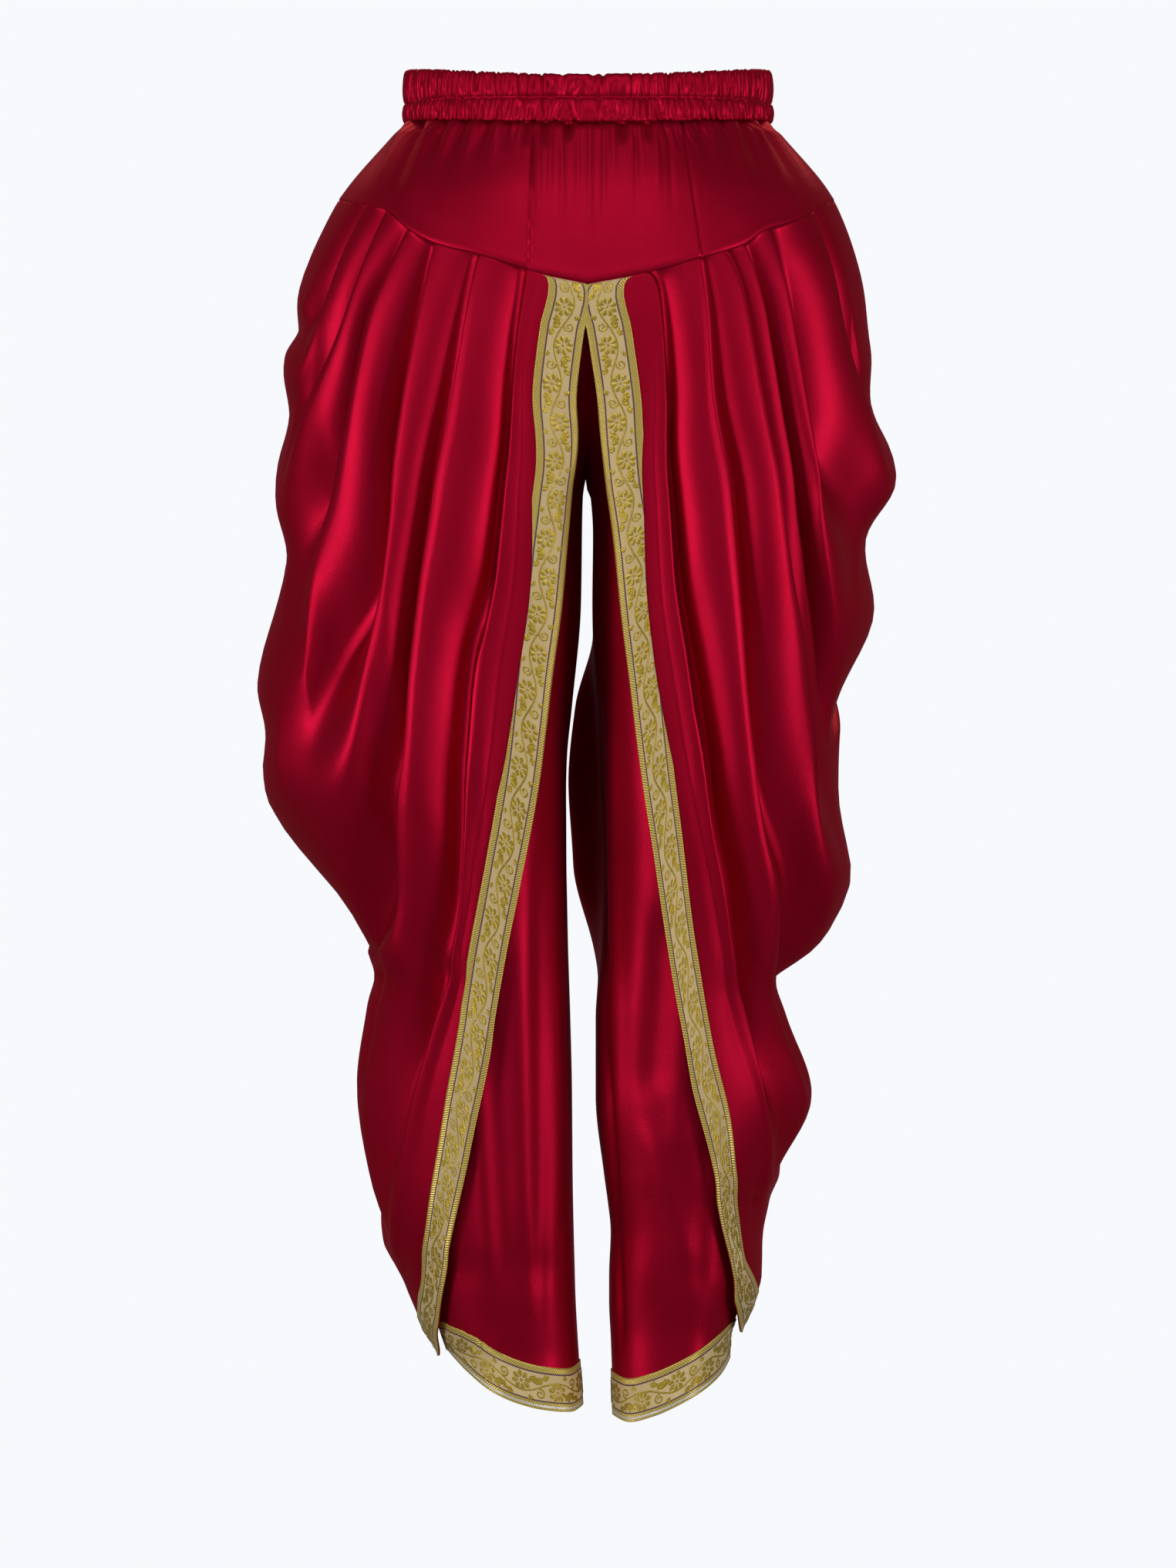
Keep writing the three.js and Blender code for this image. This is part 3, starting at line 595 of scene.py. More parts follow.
def grooves(grid_u, length, rng, level, spacing, width, depth, reach, slant):
    """Narrow folds of gathered cloth, each of its own width, depth and length. level is 0 to 1 down."""
    relief = np.zeros(grid_u.shape)
    place = rng.random() * spacing
    while place < length:
        middle = place + slant * rng.normal() * (level - 0.5) * 3
        half = width * (0.6 + 0.9 * rng.random())
        strength = depth * (0.35 + 0.9 * rng.random())
        first = -0.3 + 0.5 * rng.random() if rng.random() < 0.6 else -1
        last = 1.3 - 0.6 * rng.random() if rng.random() < 0.6 else 2
        window = ease((level - first) / reach) * ease((last - level) / reach)
        columns = np.abs(grid_u[0] - place) < half * 4 + 4
        offset = (grid_u[:, columns] - middle[:, None]) / half
        relief[:, columns] -= strength * window[:, None] * np.exp(-(offset**2))
        place += spacing * (0.55 + 0.9 * rng.random())
    return relief


def channel(turn, seed):
    """Relief of one elastic channel: a soft puff with fine uneven gathers and puckers at its edges."""
    rng = np.random.default_rng(seed)
    level = np.linspace(0, 1, CHANNEL_ROWS)
    u = turn[None, :] * BAND_LENGTH + 0 * level[:, None]
    puff = BAND_PUFF * np.sin(np.pi * level) ** PUFF_POWER
    fine = {"spacing": 3.0, "width": 0.6, "depth": 1.7, "reach": 0.5, "slant": 0.35}
    broad = {"spacing": 7.5, "width": 1.4, "depth": 0.9, "reach": 0.5, "slant": 0.6}
    relief = puff[:, None] + grooves(u, BAND_LENGTH, rng, level, **fine)
    relief += grooves(u, BAND_LENGTH, rng, level, **broad)
    edge = np.exp(-((level / PUCKER_REACH) ** 2)) + np.exp(-(((1 - level) / PUCKER_REACH) ** 2))
    drift = 1.1 * np.sin(u * 0.071 + seed) + 0.7 * np.sin(u * 0.193 + seed * 2)
    relief += PUCKER_DEPTH * edge[:, None] * (np.abs(np.sin(np.pi * (u / PUCKER_PITCH + drift))) - 0.5)
    return relief


def waistband():
    share = np.arange(BAND_COLUMNS) / BAND_COLUMNS
    left, turn = ring_turns(share)
    relief = np.concatenate([channel(share, seed=3), channel(share, seed=4)[1:]])
    down = np.linspace(0, 1, CHANNEL_ROWS)
    side = np.concatenate([mix(-BAND_RISE_SIDE, BAND_LINE_SIDE, down),
                           mix(BAND_LINE_SIDE, BAND_FOOT_SIDE, down)[1:]])
    front = np.concatenate([mix(-BAND_RISE_FRONT, BAND_LINE_FRONT, down),
                            mix(BAND_LINE_FRONT, BAND_FOOT_FRONT, down)[1:]])
    rows = len(side)
    top = np.exp(-((np.arange(rows) / EDGE_WAVE_ROWS[0]) ** 2))[:, None]
    foot = np.exp(-(((rows - 1 - np.arange(rows)) / EDGE_WAVE_ROWS[1]) ** 2))[:, None]
    near_top, near_foot = (relief[row] - relief[row].mean() for row in (2, -3))
    scallop = near_top[None, :] * top - near_foot[None, :] * foot
    drop = band_drop(side[:, None], front[:, None], turn[None, :]) - EDGE_WAVE * scallop
    grid, outward = ring_points(left, turn, (drop, drop), relief + BAND_OUT)
    lining_rows = [-1, rows // 2, 0]
    lining = (grid - outward * (relief[:, :, None] + BAND_LINING_INSET))[lining_rows]
    lining_outward = -outward[lining_rows]
    body = np.concatenate([grid, lining])
    faces = grid_faces(len(body), BAND_COLUMNS, True)
    closing = grid_faces(2, BAND_COLUMNS, True)
    last = (len(body) - 1) * BAND_COLUMNS
    closing = np.where(closing < BAND_COLUMNS, closing + last, closing - BAND_COLUMNS)
    faces = turned_out(body, np.concatenate([outward, lining_outward]), np.concatenate([faces, closing]))
    piece = mesh_object("waistband_satin", body.reshape(-1, 3), faces, [SATIN], cloth_lengths(body))
    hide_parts("waistband")


def yoke_grid(behind):
    """The yoke's places from the band to the seam, as turns and drops on each side."""
    across = np.linspace(-1, 1, YOKE_COLUMNS)
    down = np.linspace(0, 1, YOKE_ROWS) ** 1.35
    turn = np.abs(across) * 0.5
    turn = 1 - turn if behind else turn
    top = band_drop(BAND_FOOT_SIDE, BAND_FOOT_FRONT, turn) - 1
    drops = []
    for leg in (LEFT, RIGHT):
        def reach_at(drop):
            section = section_at(leg, drop)
            middle = angle_at_reach(section, 0)
            return reach_at_angle(section, mix(middle, 180 - middle, turn))

        foot = drop_on_edge(
            YOKE_SEAM_GUESS + 0 * turn, reach_at, lambda reach: seam_drop(leg, reach, behind))
        drops.append(mix(top[None, :], foot[None, :] - SEAM_GAP / 2, down[:, None]))
    return across, down, turn, drops


# Folds of the yoke, seen from the front: x and drop where each begins and ends, half width at both
# ends, and how far it stands out; a negative height is a trough.
YOKE_FOLDS = [
    # x, drop, end x, end drop, half width, end half width, height
    (-100, 17, -118, 68, 3.2, 4.5, -3.4),
    (-107, 16, -131, 62, 2.6, 5, 1.8),
    (-94, 18, -108, 72, 3, 8, 2.0),
    (-86, 18, -101, 52, 2.2, 4.5, -2.4),
    (-80, 18, -94, 56, 2.6, 6, 1.5),
    (-74, 19, -85, 46, 1.8, 4, -1.9),
    (-67, 19, -76, 50, 2.2, 5, 1.2),
    (-60, 19, -67, 40, 1.6, 3.5, -1.5),
    (-53, 19, -58, 48, 2, 4.5, 0.9),
    (-47, 19, -50, 36, 1.4, 3, -1.2),
    (-36, 20, -37, 33, 2.2, 3, -2.0),
    (-29, 20, -29.5, 90, 1.2, 2, 0.6),
    (-25, 20, -25, 34, 2.2, 2.4, -2.2),
    (-22, 20, -22.5, 80, 1, 1.8, -0.5),
    (-15, 20, -15, 100, 1.2, 2, 0.5),
    (-11.4, 20, -12, 30, 2.6, 2, -2.2),
    (-6, 20, -6, 84, 1, 1.8, -0.45),
    (1, 20, 1, 104, 1.2, 2.2, 0.5),
    (9.2, 20, 9.4, 90, 1, 1.6, -0.6),
    (15, 20, 15, 60, 1.2, 2, 0.5),
    (19.9, 20, 20.4, 32, 2.6, 2, -2.2),
    (28, 20, 29, 84, 1, 2, -0.5),
    (35, 20, 36, 31, 2.2, 2, -1.9),
    (40, 20, 42, 70, 1.2, 2.2, 0.5),
    (47, 20, 50, 76, 1, 2, -0.5),
    (66, 19, 69, 40, 1.6, 3, -1.2),
    (73, 19, 78, 50, 1.8, 4, 0.9),
    (80, 18, 86, 48, 1.6, 4, -1.5),
    (87, 18, 95, 60, 2, 5, 1.3),
    (92, 18, 104, 58, 2, 4.5, -1.9),
    (99, 17, 118, 58, 2, 5, 2.0),
    (103, 17, 124, 58, 1.8, 4, -1.9),
    (107, 16, 132, 58, 1.8, 4, 1.6),
    (109.5, 16, 139, 60, 1.6, 3.5, -1.5),
]

# Pressed tucks of the yoke in front: x and drop at the band and at the seam, and the side that lies
# on top, -1 left or 1 right.
TUCKS = [(-33, 19, -35, 106, -1), (55, 19, 67, 100, -1)]


def crease_line(grid, x, drop, end_x, end_drop):
    """Distance across from a line, and the share along it, for every point of a grid."""
    along = (-grid[..., 2] - drop) / (end_drop - drop)
    return grid[..., 0] - mix(x, end_x, along), along


def yoke(name, behind):
    across, down, turn, drops = yoke_grid(behind)
    grid, outward = ring_points(across <= 0, turn, drops, 0)
    rng = np.random.default_rng(23 if behind else 11)
    relief = np.zeros(grid.shape[:2])
    for x, drop, end_x, end_drop, width, end_width, height in YOKE_FOLDS:
        if behind:
            x, end_x = -x + 4 * rng.normal(), -end_x + 5 * rng.normal()
            end_drop *= 0.8 + 0.2 * rng.random()
        offset, along = crease_line(grid, x, drop, end_x, end_drop)
        half = np.maximum(mix(width, end_width, np.clip(along, 0, 1.2)), 0.6)
        fade = ease(1.08 - along) * ease((along + 0.35) / 0.35)
        relief += YOKE_FOLD_STRENGTH * height * fade * np.exp(-((offset / half) ** 2))
    places = ((across + 1) / 2 * YOKE_LENGTH)[None, :] + np.zeros((YOKE_ROWS, 1))
    level = np.linspace(0, 1, YOKE_ROWS)
    fine = grooves(
        places, YOKE_LENGTH, rng, level, spacing=3.6, width=0.9, depth=1.1, reach=0.4, slant=1.2)
    relief += fine * np.exp(-((down / FINE_GATHER_REACH) ** 1.5))[:, None]
    if not behind:
        for x, drop, end_x, end_drop, side in TUCKS:
            offset, along = crease_line(grid, x, drop, end_x, end_drop)
            over = np.clip(0.5 + side * offset / TUCK_EDGE_WIDTH, 0, 1)
            swell = np.exp(-np.clip(side * offset, 0, None) / TUCK_SWELL_WIDTH)
            sunk = np.exp(-np.clip(-side * offset, 0, None) / TUCK_SINK_WIDTH)
            relief += over * swell * TUCK_HEIGHT - (1 - over) * sunk * TUCK_HEIGHT
            relief -= TUCK_GROOVE * np.exp(-(((side * offset + TUCK_HEIGHT) / TUCK_EDGE_WIDTH) ** 2))
    held = ease((1 - down) * YOKE_HOLD)[:, None]
    seat = 1 - TOP_PINCH * np.exp(-((down / TOP_PINCH_REACH) ** 2))[:, None]
    relief = relief * held + seat - 1 + SEAM_SWELL * seam_swell(down)[:, None]
    # The top edge runs up inside the band
    raised = [drop[:1] - YOKE_ALLOWANCE for drop in drops]
    top_edge, _ = ring_points(across <= 0, turn, raised, -YOKE_TOP_INSET)
    cloth = np.concatenate([top_edge, grid + outward * relief[..., None]])
    facing = np.concatenate([outward[:1], outward])
    satin_shell(name, cloth, facing,
                flat=(0.4, 0.105), area=0.034, held="gathered", rests_on=["waistband_satin"])


def seam_swell(down):
    """The yoke rolls out a little just above its seam and turns in at it."""
    roll = np.exp(-(((1 - down) / SWELL_REACH) ** 2))
    return roll - TURN_IN * np.exp(-(((1 - down) / TURN_IN_REACH) ** 2))


# Drapes

def steps_along(points, first):
    millimetres_per_degree = 2
    places = np.array([[p[0] * millimetres_per_degree, p[1]] for p in points])
    lengths = np.linalg.norm(np.diff(places, axis=0), axis=1)
    run = np.concatenate([[0], np.cumsum(lengths)])
    return first + run / run[-1]


def fold_path(leg, crease):
    """A fold's angle and drop against its step: 0 seam in front, 1 lowest point, 2 seam behind."""
    start = float(seam_drop(leg, crease["seam"], False)) + SEAM_GAP / 2
    points = [(float(angle_at_reach(section_at(leg, start), crease["seam"])), start)]
    for drop, reach in zip(FOLD_DROPS, crease["reaches"]):
        points.append((float(angle_at_reach(section_at(leg, drop), reach)), drop))
    low = (crease["low_angle"], crease["low_drop"])
    points.append(low)
    first = points[0][0]
    back_seam = float(seam_drop(leg, crease["seam"], True)) + SEAM_GAP / 2
    stretch = (low[1] - back_seam) / (low[1] - start)
    behind = [low]
    for angle, drop in reversed(points[:-1]):
        back_drop = low[1] - (low[1] - drop) * stretch
        reach = reach_at_angle(section_at(leg, drop), angle)
        mirrored = 180 - float(angle_at_reach(section_at(leg, back_drop), reach))
        share = (angle - first) / (low[0] - first)
        behind.append((mirrored + (low[0] * 2 - 180) * share**BACK_TURN_POWER, back_drop))
    steps = np.concatenate([steps_along(points, 0), steps_along(behind, 1)[1:]])
    whole = np.array(points + behind[1:])
    return {"steps": steps, "angles": whole[:, 0], "drops": whole[:, 1]}


def side_path(leg):
    """The top row of a drape, which follows the yoke's seam round the side of the hip."""
    reach = leg["seam"]["reach"][-1] - SIDE_ROW_START
    drop = leg["seam"]["drop"][-1] + SEAM_GAP / 2
    edge = float(seam_drop(leg, reach, False)) + SEAM_GAP / 2
    angle = float(angle_at_reach(section_at(leg, edge), reach))
    return {"steps": [0, 1, 2], "angles": [angle, 90, 180 - angle], "drops": [edge, drop, edge]}


def fold_steps():
    """Steps lie closer together towards the lowest point of a fold, where it turns."""
    even = np.linspace(-1, 1, FOLD_STEPS * 2 + 1)
    return 1 + np.sign(even) * np.abs(even) ** STEP_CROWDING


def valley_place(upper, near):
    """The valley stays close to the next pleat's pressed edge until the fold turns soft at the side."""
    seam, _, side = upper["share"]
    edge = max(seam, VALLEY_BESIDE_EDGE) if seam > 0.5 else seam
    return smooth_value([0, 0.5, 0.8, 1], [edge, edge, mix(edge, side, 0.75), side], near)


def fold_inset(upper, lower, share, near):
    """How far inward the cloth lies between two folds."""
    start = upper["sink"] * ease(near)
    end = lower["sink"] * ease(near)
    at = valley_place(upper, near)
    pressed = PRESSED_DEPTH if upper["depth"][0] > 1 else 0
    deep = [upper["depth"][0] * MIDDLE_DEEPER, upper["depth"][1]]
    deepening = [pressed, mix(pressed, deep[0], 0.45), mix(pressed, deep[0], 0.85), *deep]
    depth = smooth_value(DEPTH_PLACES, deepening, near)
    valley = mix(start, end, at) + depth
    down = np.clip(share / at, 0, 1)
    soft = ease(near * 1.3 - 0.3)
    hollow = mix(down**HOLLOW_POWER, ease(down), soft)
    above = mix(start, valley, hollow)
    rise = np.clip((share - at) / (1 - at), 0, 1)
    below = mix(valley, end, mix(np.sin(np.pi / 2 * rise), ease(rise), soft))
    return np.where(share <= at, above, below)


def drape_surface(leg):
    """The drape's outer face: its steps, and the angle, drop and inset of each row from the hip's side
    to the free edge."""
    flat = fold(0, 90, 0, 0, [0.5, 0.5, 0.5], [0, 0], [])
    creases = [flat, *leg["folds"], *leg["border"]]
    paths = [side_path(leg), *(fold_path(leg, crease) for crease in creases[1:])]
    steps = fold_steps()
    near = np.minimum(steps, 2 - steps)
    to_seam = np.clip(1 - near / SEAM_PULL_REACH, 0, 1) ** 2
    rows = []
    for i in range(len(creases) - 1):
        parts = np.linspace(0, 2, PLEAT_ROWS * 2 + 1)
        parts = parts if i == len(creases) - 2 else parts[:-1]
        upper, lower = creases[i], creases[i + 1]
        at = valley_place(upper, near)
        for part in parts:
            share = part * at if part <= 1 else mix(at, 1, part - 1)
            angle, drop = (
                mix(*(smooth_value(path["steps"], path[key], steps) for path in paths[i : i + 2]), share)
                for key in ("angles", "drops")
            )
            inset = fold_inset(upper, lower, share, near)
            reach = reach_at_angle(section_at(leg, drop), angle)
            seam = seam_drop(leg, reach, steps > 1) + SEAM_GAP / 2
            pull = np.ones_like(steps) if i == 0 and part == 0 else to_seam
            rows.append((angle, mix(drop, seam, pull), inset))
    return steps, *(np.array(values) for values in zip(*rows))


def drape(leg):
    steps, *rows = drape_surface(leg)
    # Seam allowance, turned up behind the yoke in front and behind
    angle, drop, inset = (np.pad(values, ((0, 0), (1, 1)), mode="edge") for values in rows)
    drop[:, [0, -1]] -= SEAM_ALLOWANCE
    inset[:, [0, -1]] = ALLOWANCE_INSET
    cloth, facing = leg_point(leg, angle, drop, -inset)
    satin_shell("drape_" + leg["name"], cloth, facing, flat=(0.68, 0.66), area=0.28,
                held="gathered", rests_on=["yoke_front_satin", "yoke_back_satin"])
    return cloth[:, 1:-1], facing[:, 1:-1], steps


# Ribbon

RIBBON_BANDS = [
    # width across from the free edge, material
    (4.0, EDGE_GOLD),
    (1.0, LINE_PURPLE),
    (15.8, GROUND),
    (1.0, LINE_PURPLE),
    (4.2, EDGE_GOLD),
]
HEM_BANDS = [
    (1.6, EDGE_GOLD),
    (1.2, SILVER),
    (1.8, EDGE_GOLD),
    (0.9, LINE_PURPLE),
    (15.8, GROUND),
    (1.0, LINE_PURPLE),
    (3.7, EDGE_GOLD),
]


class Ribbon:
    """A ribbon laid on a surface. Places on it are (along, across) in millimetres from its free edge."""

    def __init__(self, grid, outward):
        """Rows of the grid run from the free edge inward, columns along the ribbon."""
        self.normals = surface_normals(grid, outward)
        self.grid = grid + self.normals * (SEAM_GAP + BORDER_THICKNESS)
        middle = self.grid[len(self.grid) // 2]
        self.along = np.concatenate([[0], np.cumsum(np.linalg.norm(np.diff(middle, axis=0), axis=1))])
        spans = np.linalg.norm(np.diff(self.grid, axis=0), axis=-1)
        self.across = np.concatenate([np.zeros((1, grid.shape[1])), np.cumsum(spans, axis=0)])
        self.length = self.along[-1]

    def at(self, along, across, lift=0):
        """Points and normals at places on the ribbon, raised by lift. Across is kept on the ribbon."""
        along, across, lift = np.broadcast_arrays(*(np.asarray(v, float) for v in (along, across, lift)))
        shape = along.shape
        column = np.interp(along.ravel(), self.along, np.arange(len(self.along)))
        low = np.clip(column.astype(int), 0, len(self.along) - 2)
        share = column - low
        points = np.empty((len(column), 3))
        normals = np.empty((len(column), 3))
        rows = np.arange(len(self.grid))
        for k, (i, s, v) in enumerate(zip(low, share, across.ravel())):
            spans = mix(self.across[:, i], self.across[:, i + 1], s)
            row = float(np.interp(v, spans, rows))
            j = min(int(row), len(rows) - 2)
            r = row - j
            corner = mix(self.grid[j, i : i + 2], self.grid[j + 1, i : i + 2], r)
            points[k] = mix(corner[0], corner[1], s)
            corner = mix(self.normals[j, i : i + 2], self.normals[j + 1, i : i + 2], r)
            normals[k] = mix(corner[0], corner[1], s)
        normals /= np.linalg.norm(normals, axis=1, keepdims=True) + TINY
        points += normals * lift.ravel()[:, None]
        return points.reshape(*shape, 3), normals.reshape(*shape, 3)


def ribbon_piece(name, ribbon, bands, columns):
    """The ribbon's woven bands as one thin shell with a material for each band."""
    edges = np.concatenate([[0], np.cumsum([width for width, _ in bands])])
    inner = [np.linspace(a, b, RIBBON_BAND_ROWS + 1)[:-1] for a, b in zip(edges[:-1], edges[1:])]
    across = np.concatenate([*inner, [edges[-1]]])
    along = np.linspace(0, ribbon.length, columns)
    grid, normals = ribbon.at(along[None, :], across[:, None])
    materials = list(dict.fromkeys(material for _, material in bands))
    of_row = np.repeat([materials.index(material) for _, material in bands], RIBBON_BAND_ROWS)
    face_slots = np.repeat(of_row, columns - 1)
    return shell(name, grid, normals, materials, uv_pairs(along, across), BORDER_THICKNESS, face_slots)


def lay_ribbon(name, grid, outward, bands, columns, vine_start, **sheet):
    """A ribbon with its vine on a strip of cloth, in place of the solid of that name."""
    ribbon = Ribbon(grid[::-1], outward[::-1])
    strip = ribbon_piece(name + "_ribbon", ribbon, bands, columns)
    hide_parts(name)
    flowers = vine(name + "_vine", ribbon, vine_start)


# Floral vine of the ribbon, drawn in millimetres along and across its ground

REPEAT = 45.5
GROUND_MIDDLE = 12.9
PETALS = 8
FLOWER_SIZE = 12
STEM_WIDTH = 1.05
PATCH_EDGE_LIFT, PATCH_MIDDLE_LIFT = 0.12, 0.42
STEM_EDGE_LIFT, STEM_MIDDLE_LIFT = 0.1, 0.3
SPRIGS = [
    # along from the flower, across from the ground's middle, degrees, leaves, size
    (7.2, 2.4, 58, 4, 5.2),
    (12.4, 1.6, 112, 2, 5),
    (7.4, -6.6, -172, 2, 3.8),
    (-6.6, -4.2, -112, 3, 4.2),
]


def petal(centre, direction, length, width):
    """Outline of a leaf or petal that starts at a place and points in a direction."""
    t = np.linspace(0, 1, 9)
    half = width / 2 * np.sin(np.pi * t**1.4) ** 0.75
    along = np.concatenate([t, t[-2:0:-1]]) * length
    across = np.concatenate([half, -half[-2:0:-1]])
    c, s = math.cos(direction), math.sin(direction)
    return np.stack([centre[0] + along * c - across * s, centre[1] + along * s + across * c], axis=-1)


def flower(u, v, turn, size):
    shapes = []
    for k in range(PETALS):
        direction = turn + k * 2 * math.pi / PETALS
        start = (u + math.cos(direction) * size * 0.13, v + math.sin(direction) * size * 0.13)
        shapes.append(petal(start, direction, size * 0.38, size * 0.23))
    ring = np.linspace(0, 2 * math.pi, 9)[:-1]
    shapes.append(np.stack([u + np.cos(ring) * size * 0.08, v + np.sin(ring) * size * 0.08], axis=-1))
    return shapes


def sprig(u, v, direction, count, size):
    """Small leaves in a fan."""
    shapes = []
    for k in range(count):
        spread = (k - (count - 1) / 2) * 0.62
        shapes.append(petal((u, v), direction + spread, size * (1 - 0.12 * abs(k - 1)), size * 0.46))
    return shapes


def line_shape(points, width):
    """Outline of a thin stem along points."""
    points = np.asarray(points, float)
    along = np.gradient(points, axis=0)
    along /= np.linalg.norm(along, axis=1, keepdims=True) + TINY
    side = np.stack([-along[:, 1], along[:, 0]], axis=-1) * width / 2
    return points + side, points - side


def curl(u, v, start, turns, radius, hand):
    t = np.linspace(0, 1, 22)
    angle = start + hand * turns * 2 * math.pi * t
    r = radius * (1 - 0.78 * t)
    return np.stack([u + np.cos(angle) * r, v + np.sin(angle) * r], axis=-1)


def vine_repeat(first):
    """Filled outlines and stem lines of one repeat of the vine, from a place along the ribbon."""
    fills, stems = [], []
    for k in range(2):
        side = 1 if k == 0 else -1
        u = first + REPEAT * (0.25 + 0.5 * k)
        fills += flower(u, GROUND_MIDDLE + side * 2.0, 0.2 + 0.3 * k, FLOWER_SIZE)
        for along, across, degrees, count, size in SPRIGS:
            v = GROUND_MIDDLE + side * across
            fills += sprig(u + along, v, math.radians(degrees * side), count, size)
        v = GROUND_MIDDLE - side * 3.8
        stems.append(curl(u + 11.6, v, math.radians(100 * side), turns=1.3, radius=3.1, hand=-side))
    wave_u = np.linspace(first, first + REPEAT, 49)
    phase = (wave_u - first) / REPEAT * 2 * math.pi
    stems.append(np.stack([wave_u, GROUND_MIDDLE - 3.4 * np.sin(phase)], axis=-1))
    return fills, stems


def vine(name, ribbon, first):
    """The woven floral vine as slightly raised patches of gold thread on the ribbon's ground."""
    flat, lifts, faces = [], [], []

    def add(points, lift):
        start = sum(len(p) for p in flat)
        flat.append(np.asarray(points))
        lifts.append(np.full(len(points), lift))
        return start

    repeats = int(ribbon.length / REPEAT) + 2
    for number in range(repeats):
        fills, stems = vine_repeat(first + (number - 1) * REPEAT)
        for outline in fills:
            if outline[:, 0].min() < 1 or outline[:, 0].max() > ribbon.length - 1:
                continue
            ring = add(outline, PATCH_EDGE_LIFT)
            middle = add([outline.mean(axis=0)], PATCH_MIDDLE_LIFT)
            count = len(outline)
            faces += [(ring + i, ring + (i + 1) % count, middle) for i in range(count)]
        for points in stems:
            keep = (points[:, 0] > 1) & (points[:, 0] < ribbon.length - 1)
            points = points[keep]
            if len(points) < 3:
                continue
            left, right = line_shape(points, STEM_WIDTH)
            a = add(left, STEM_EDGE_LIFT)
            m = add(points, STEM_MIDDLE_LIFT)
            b = add(right, STEM_EDGE_LIFT)
            for i in range(len(points) - 1):
                faces.append((a + i, a + i + 1, m + i + 1, m + i))
                faces.append((m + i, m + i + 1, b + i + 1, b + i))
    places = np.concatenate(flat)
    raised = np.concatenate(lifts)
    points, normals = ribbon.at(places[:, 0], places[:, 1], raised)
    faces = [face if facing_out(points, normals, face) else face[::-1] for face in faces]
    piece = mesh_object(name, points, faces, [MOTIF_GOLD], places * MM)
    return piece


def facing_out(points, normals, face):
    a, b, c = (points[face[i]] for i in range(3))
    return float(np.dot(np.cross(b - a, c - a), normals[face[0]])) >= 0


def front_border(leg, drape_grid, drape_outward, steps):
    rows = PLEAT_ROWS * 2 + 1
    last = int(np.searchsorted(steps, BORDER_BACK_END))
    lay_ribbon("border_" + leg["name"], drape_grid[-rows:, :last], drape_outward[-rows:, :last],
               RIBBON_BANDS, BORDER_COLUMNS, vine_start=6,
               flat=(0.026, 0.66), rests_on=["drape_" + leg["name"] + "_satin"])


# Inner legs

def inner_leg_point(leg, share, drop, behind):
    section = section_at(leg, drop, LEG_INSET)
    crosses = section["centre"] - section["inner_half"] < 0
    inner = np.where(crosses, angle_at_reach(section, 0), -90)
    outer = angle_at_reach(section, section["under"])
    angle = mix(inner, outer, share)
    points, outward = leg_point(leg, 180 - angle if behind else angle, drop, 0, LEG_INSET)
    points[..., 0] += leg["sign"] * SEAM_GAP / 2
    points[..., 1] += (SEAM_GAP if behind else -SEAM_GAP) / 2
    return points, outward


LEG_FOLD_ENDS = (0.25, 0.2)
BACK_FOLD_SHIFTS = (9, 6)

# Soft folds of the inner legs: x and drop where each begins and ends, half width, height; a negative
# height is a trough.
LEG_FOLDS = {
    "left": [
        (-20, 330, -17, 700, 4, 1.6),
        (-29, 420, -27, 752, 5, -1.6),
        (-58, 520, -46, 716, 7, -1.8),
        (-66, 560, -58, 712, 5, 1.8),
        (-40, 480, -38, 690, 7, 1.4),
    ],
    "right": [
        (6, 340, 10.8, 545, 2.2, -3.2),
        (10.8, 545, 20.5, 752, 2.2, -3.0),
        (13, 340, 18, 640, 4, 1.6),
        (44, 470, 36, 600, 9, -2.2),
        (60, 500, 52, 640, 8, 2.0),
        (34, 600, 60, 700, 8, 1.6),
        (72, 600, 64, 715, 6, -1.8),
    ],
}


def leg_relief(leg, grid, behind):
    relief = np.zeros(grid.shape[:2])
    for x, drop, end_x, end_drop, half, height in LEG_FOLDS[leg["name"]]:
        if behind:
            x, end_x = (at + leg["sign"] * shift for at, shift in zip((x, end_x), BACK_FOLD_SHIFTS))
        offset, along = crease_line(grid, x, drop, end_x, end_drop)
        fade = ease(along / LEG_FOLD_ENDS[0]) * ease((1.0 - along) / LEG_FOLD_ENDS[1])
        relief += height * fade * np.exp(-((offset / half) ** 2))
    return relief


def inner_leg_grid(leg, behind):
    share = np.linspace(0, 1, LEG_COLUMNS)

    def reach_at(drop):
        return np.abs(inner_leg_point(leg, share, drop, behind)[0][:, 0])

    top = drop_on_edge(LEG_TOP_GUESS + 0 * share, reach_at, lambda reach: seam_drop(leg, reach, behind))
    hem = drop_on_edge(HEM_GUESS + 0 * share, reach_at,
                       lambda reach: smooth_value(leg["hem"]["reach"], leg["hem"]["drop"], reach))
    down = np.linspace(0, 1, LEG_ROWS)[:, None]
    upper = mix(top[None, :] - SEAM_ALLOWANCE, hem[None, :] - BORDER_WIDTH, down)
    strip = hem[None, :] - np.linspace(BORDER_WIDTH, 0, HEM_ROWS)[1:, None]
    drop = np.concatenate([upper, strip])
    grid, outward = inner_leg_point(leg, share[None, :] + 0 * drop, drop, behind)
    still = ease(share * 8)[None, :]
    grid = grid + outward * (leg_relief(leg, grid, behind) * still)[..., None]
    return grid, outward


def with_turned_edge(leg, grid, outward):
    """Adds the allowance at the inner edge, which laps behind the other leg above the crotch."""
    crossing = np.abs(grid[:, :1, 0]) < 1
    edge = grid[:, :1] - outward[:, :1] * LEG_EDGE_INSET
    edge[..., 0] -= np.where(crossing, leg["sign"] * RISE_LAP, 0)
    return np.concatenate([edge, grid], axis=1), np.concatenate([outward[:, :1], outward], axis=1)


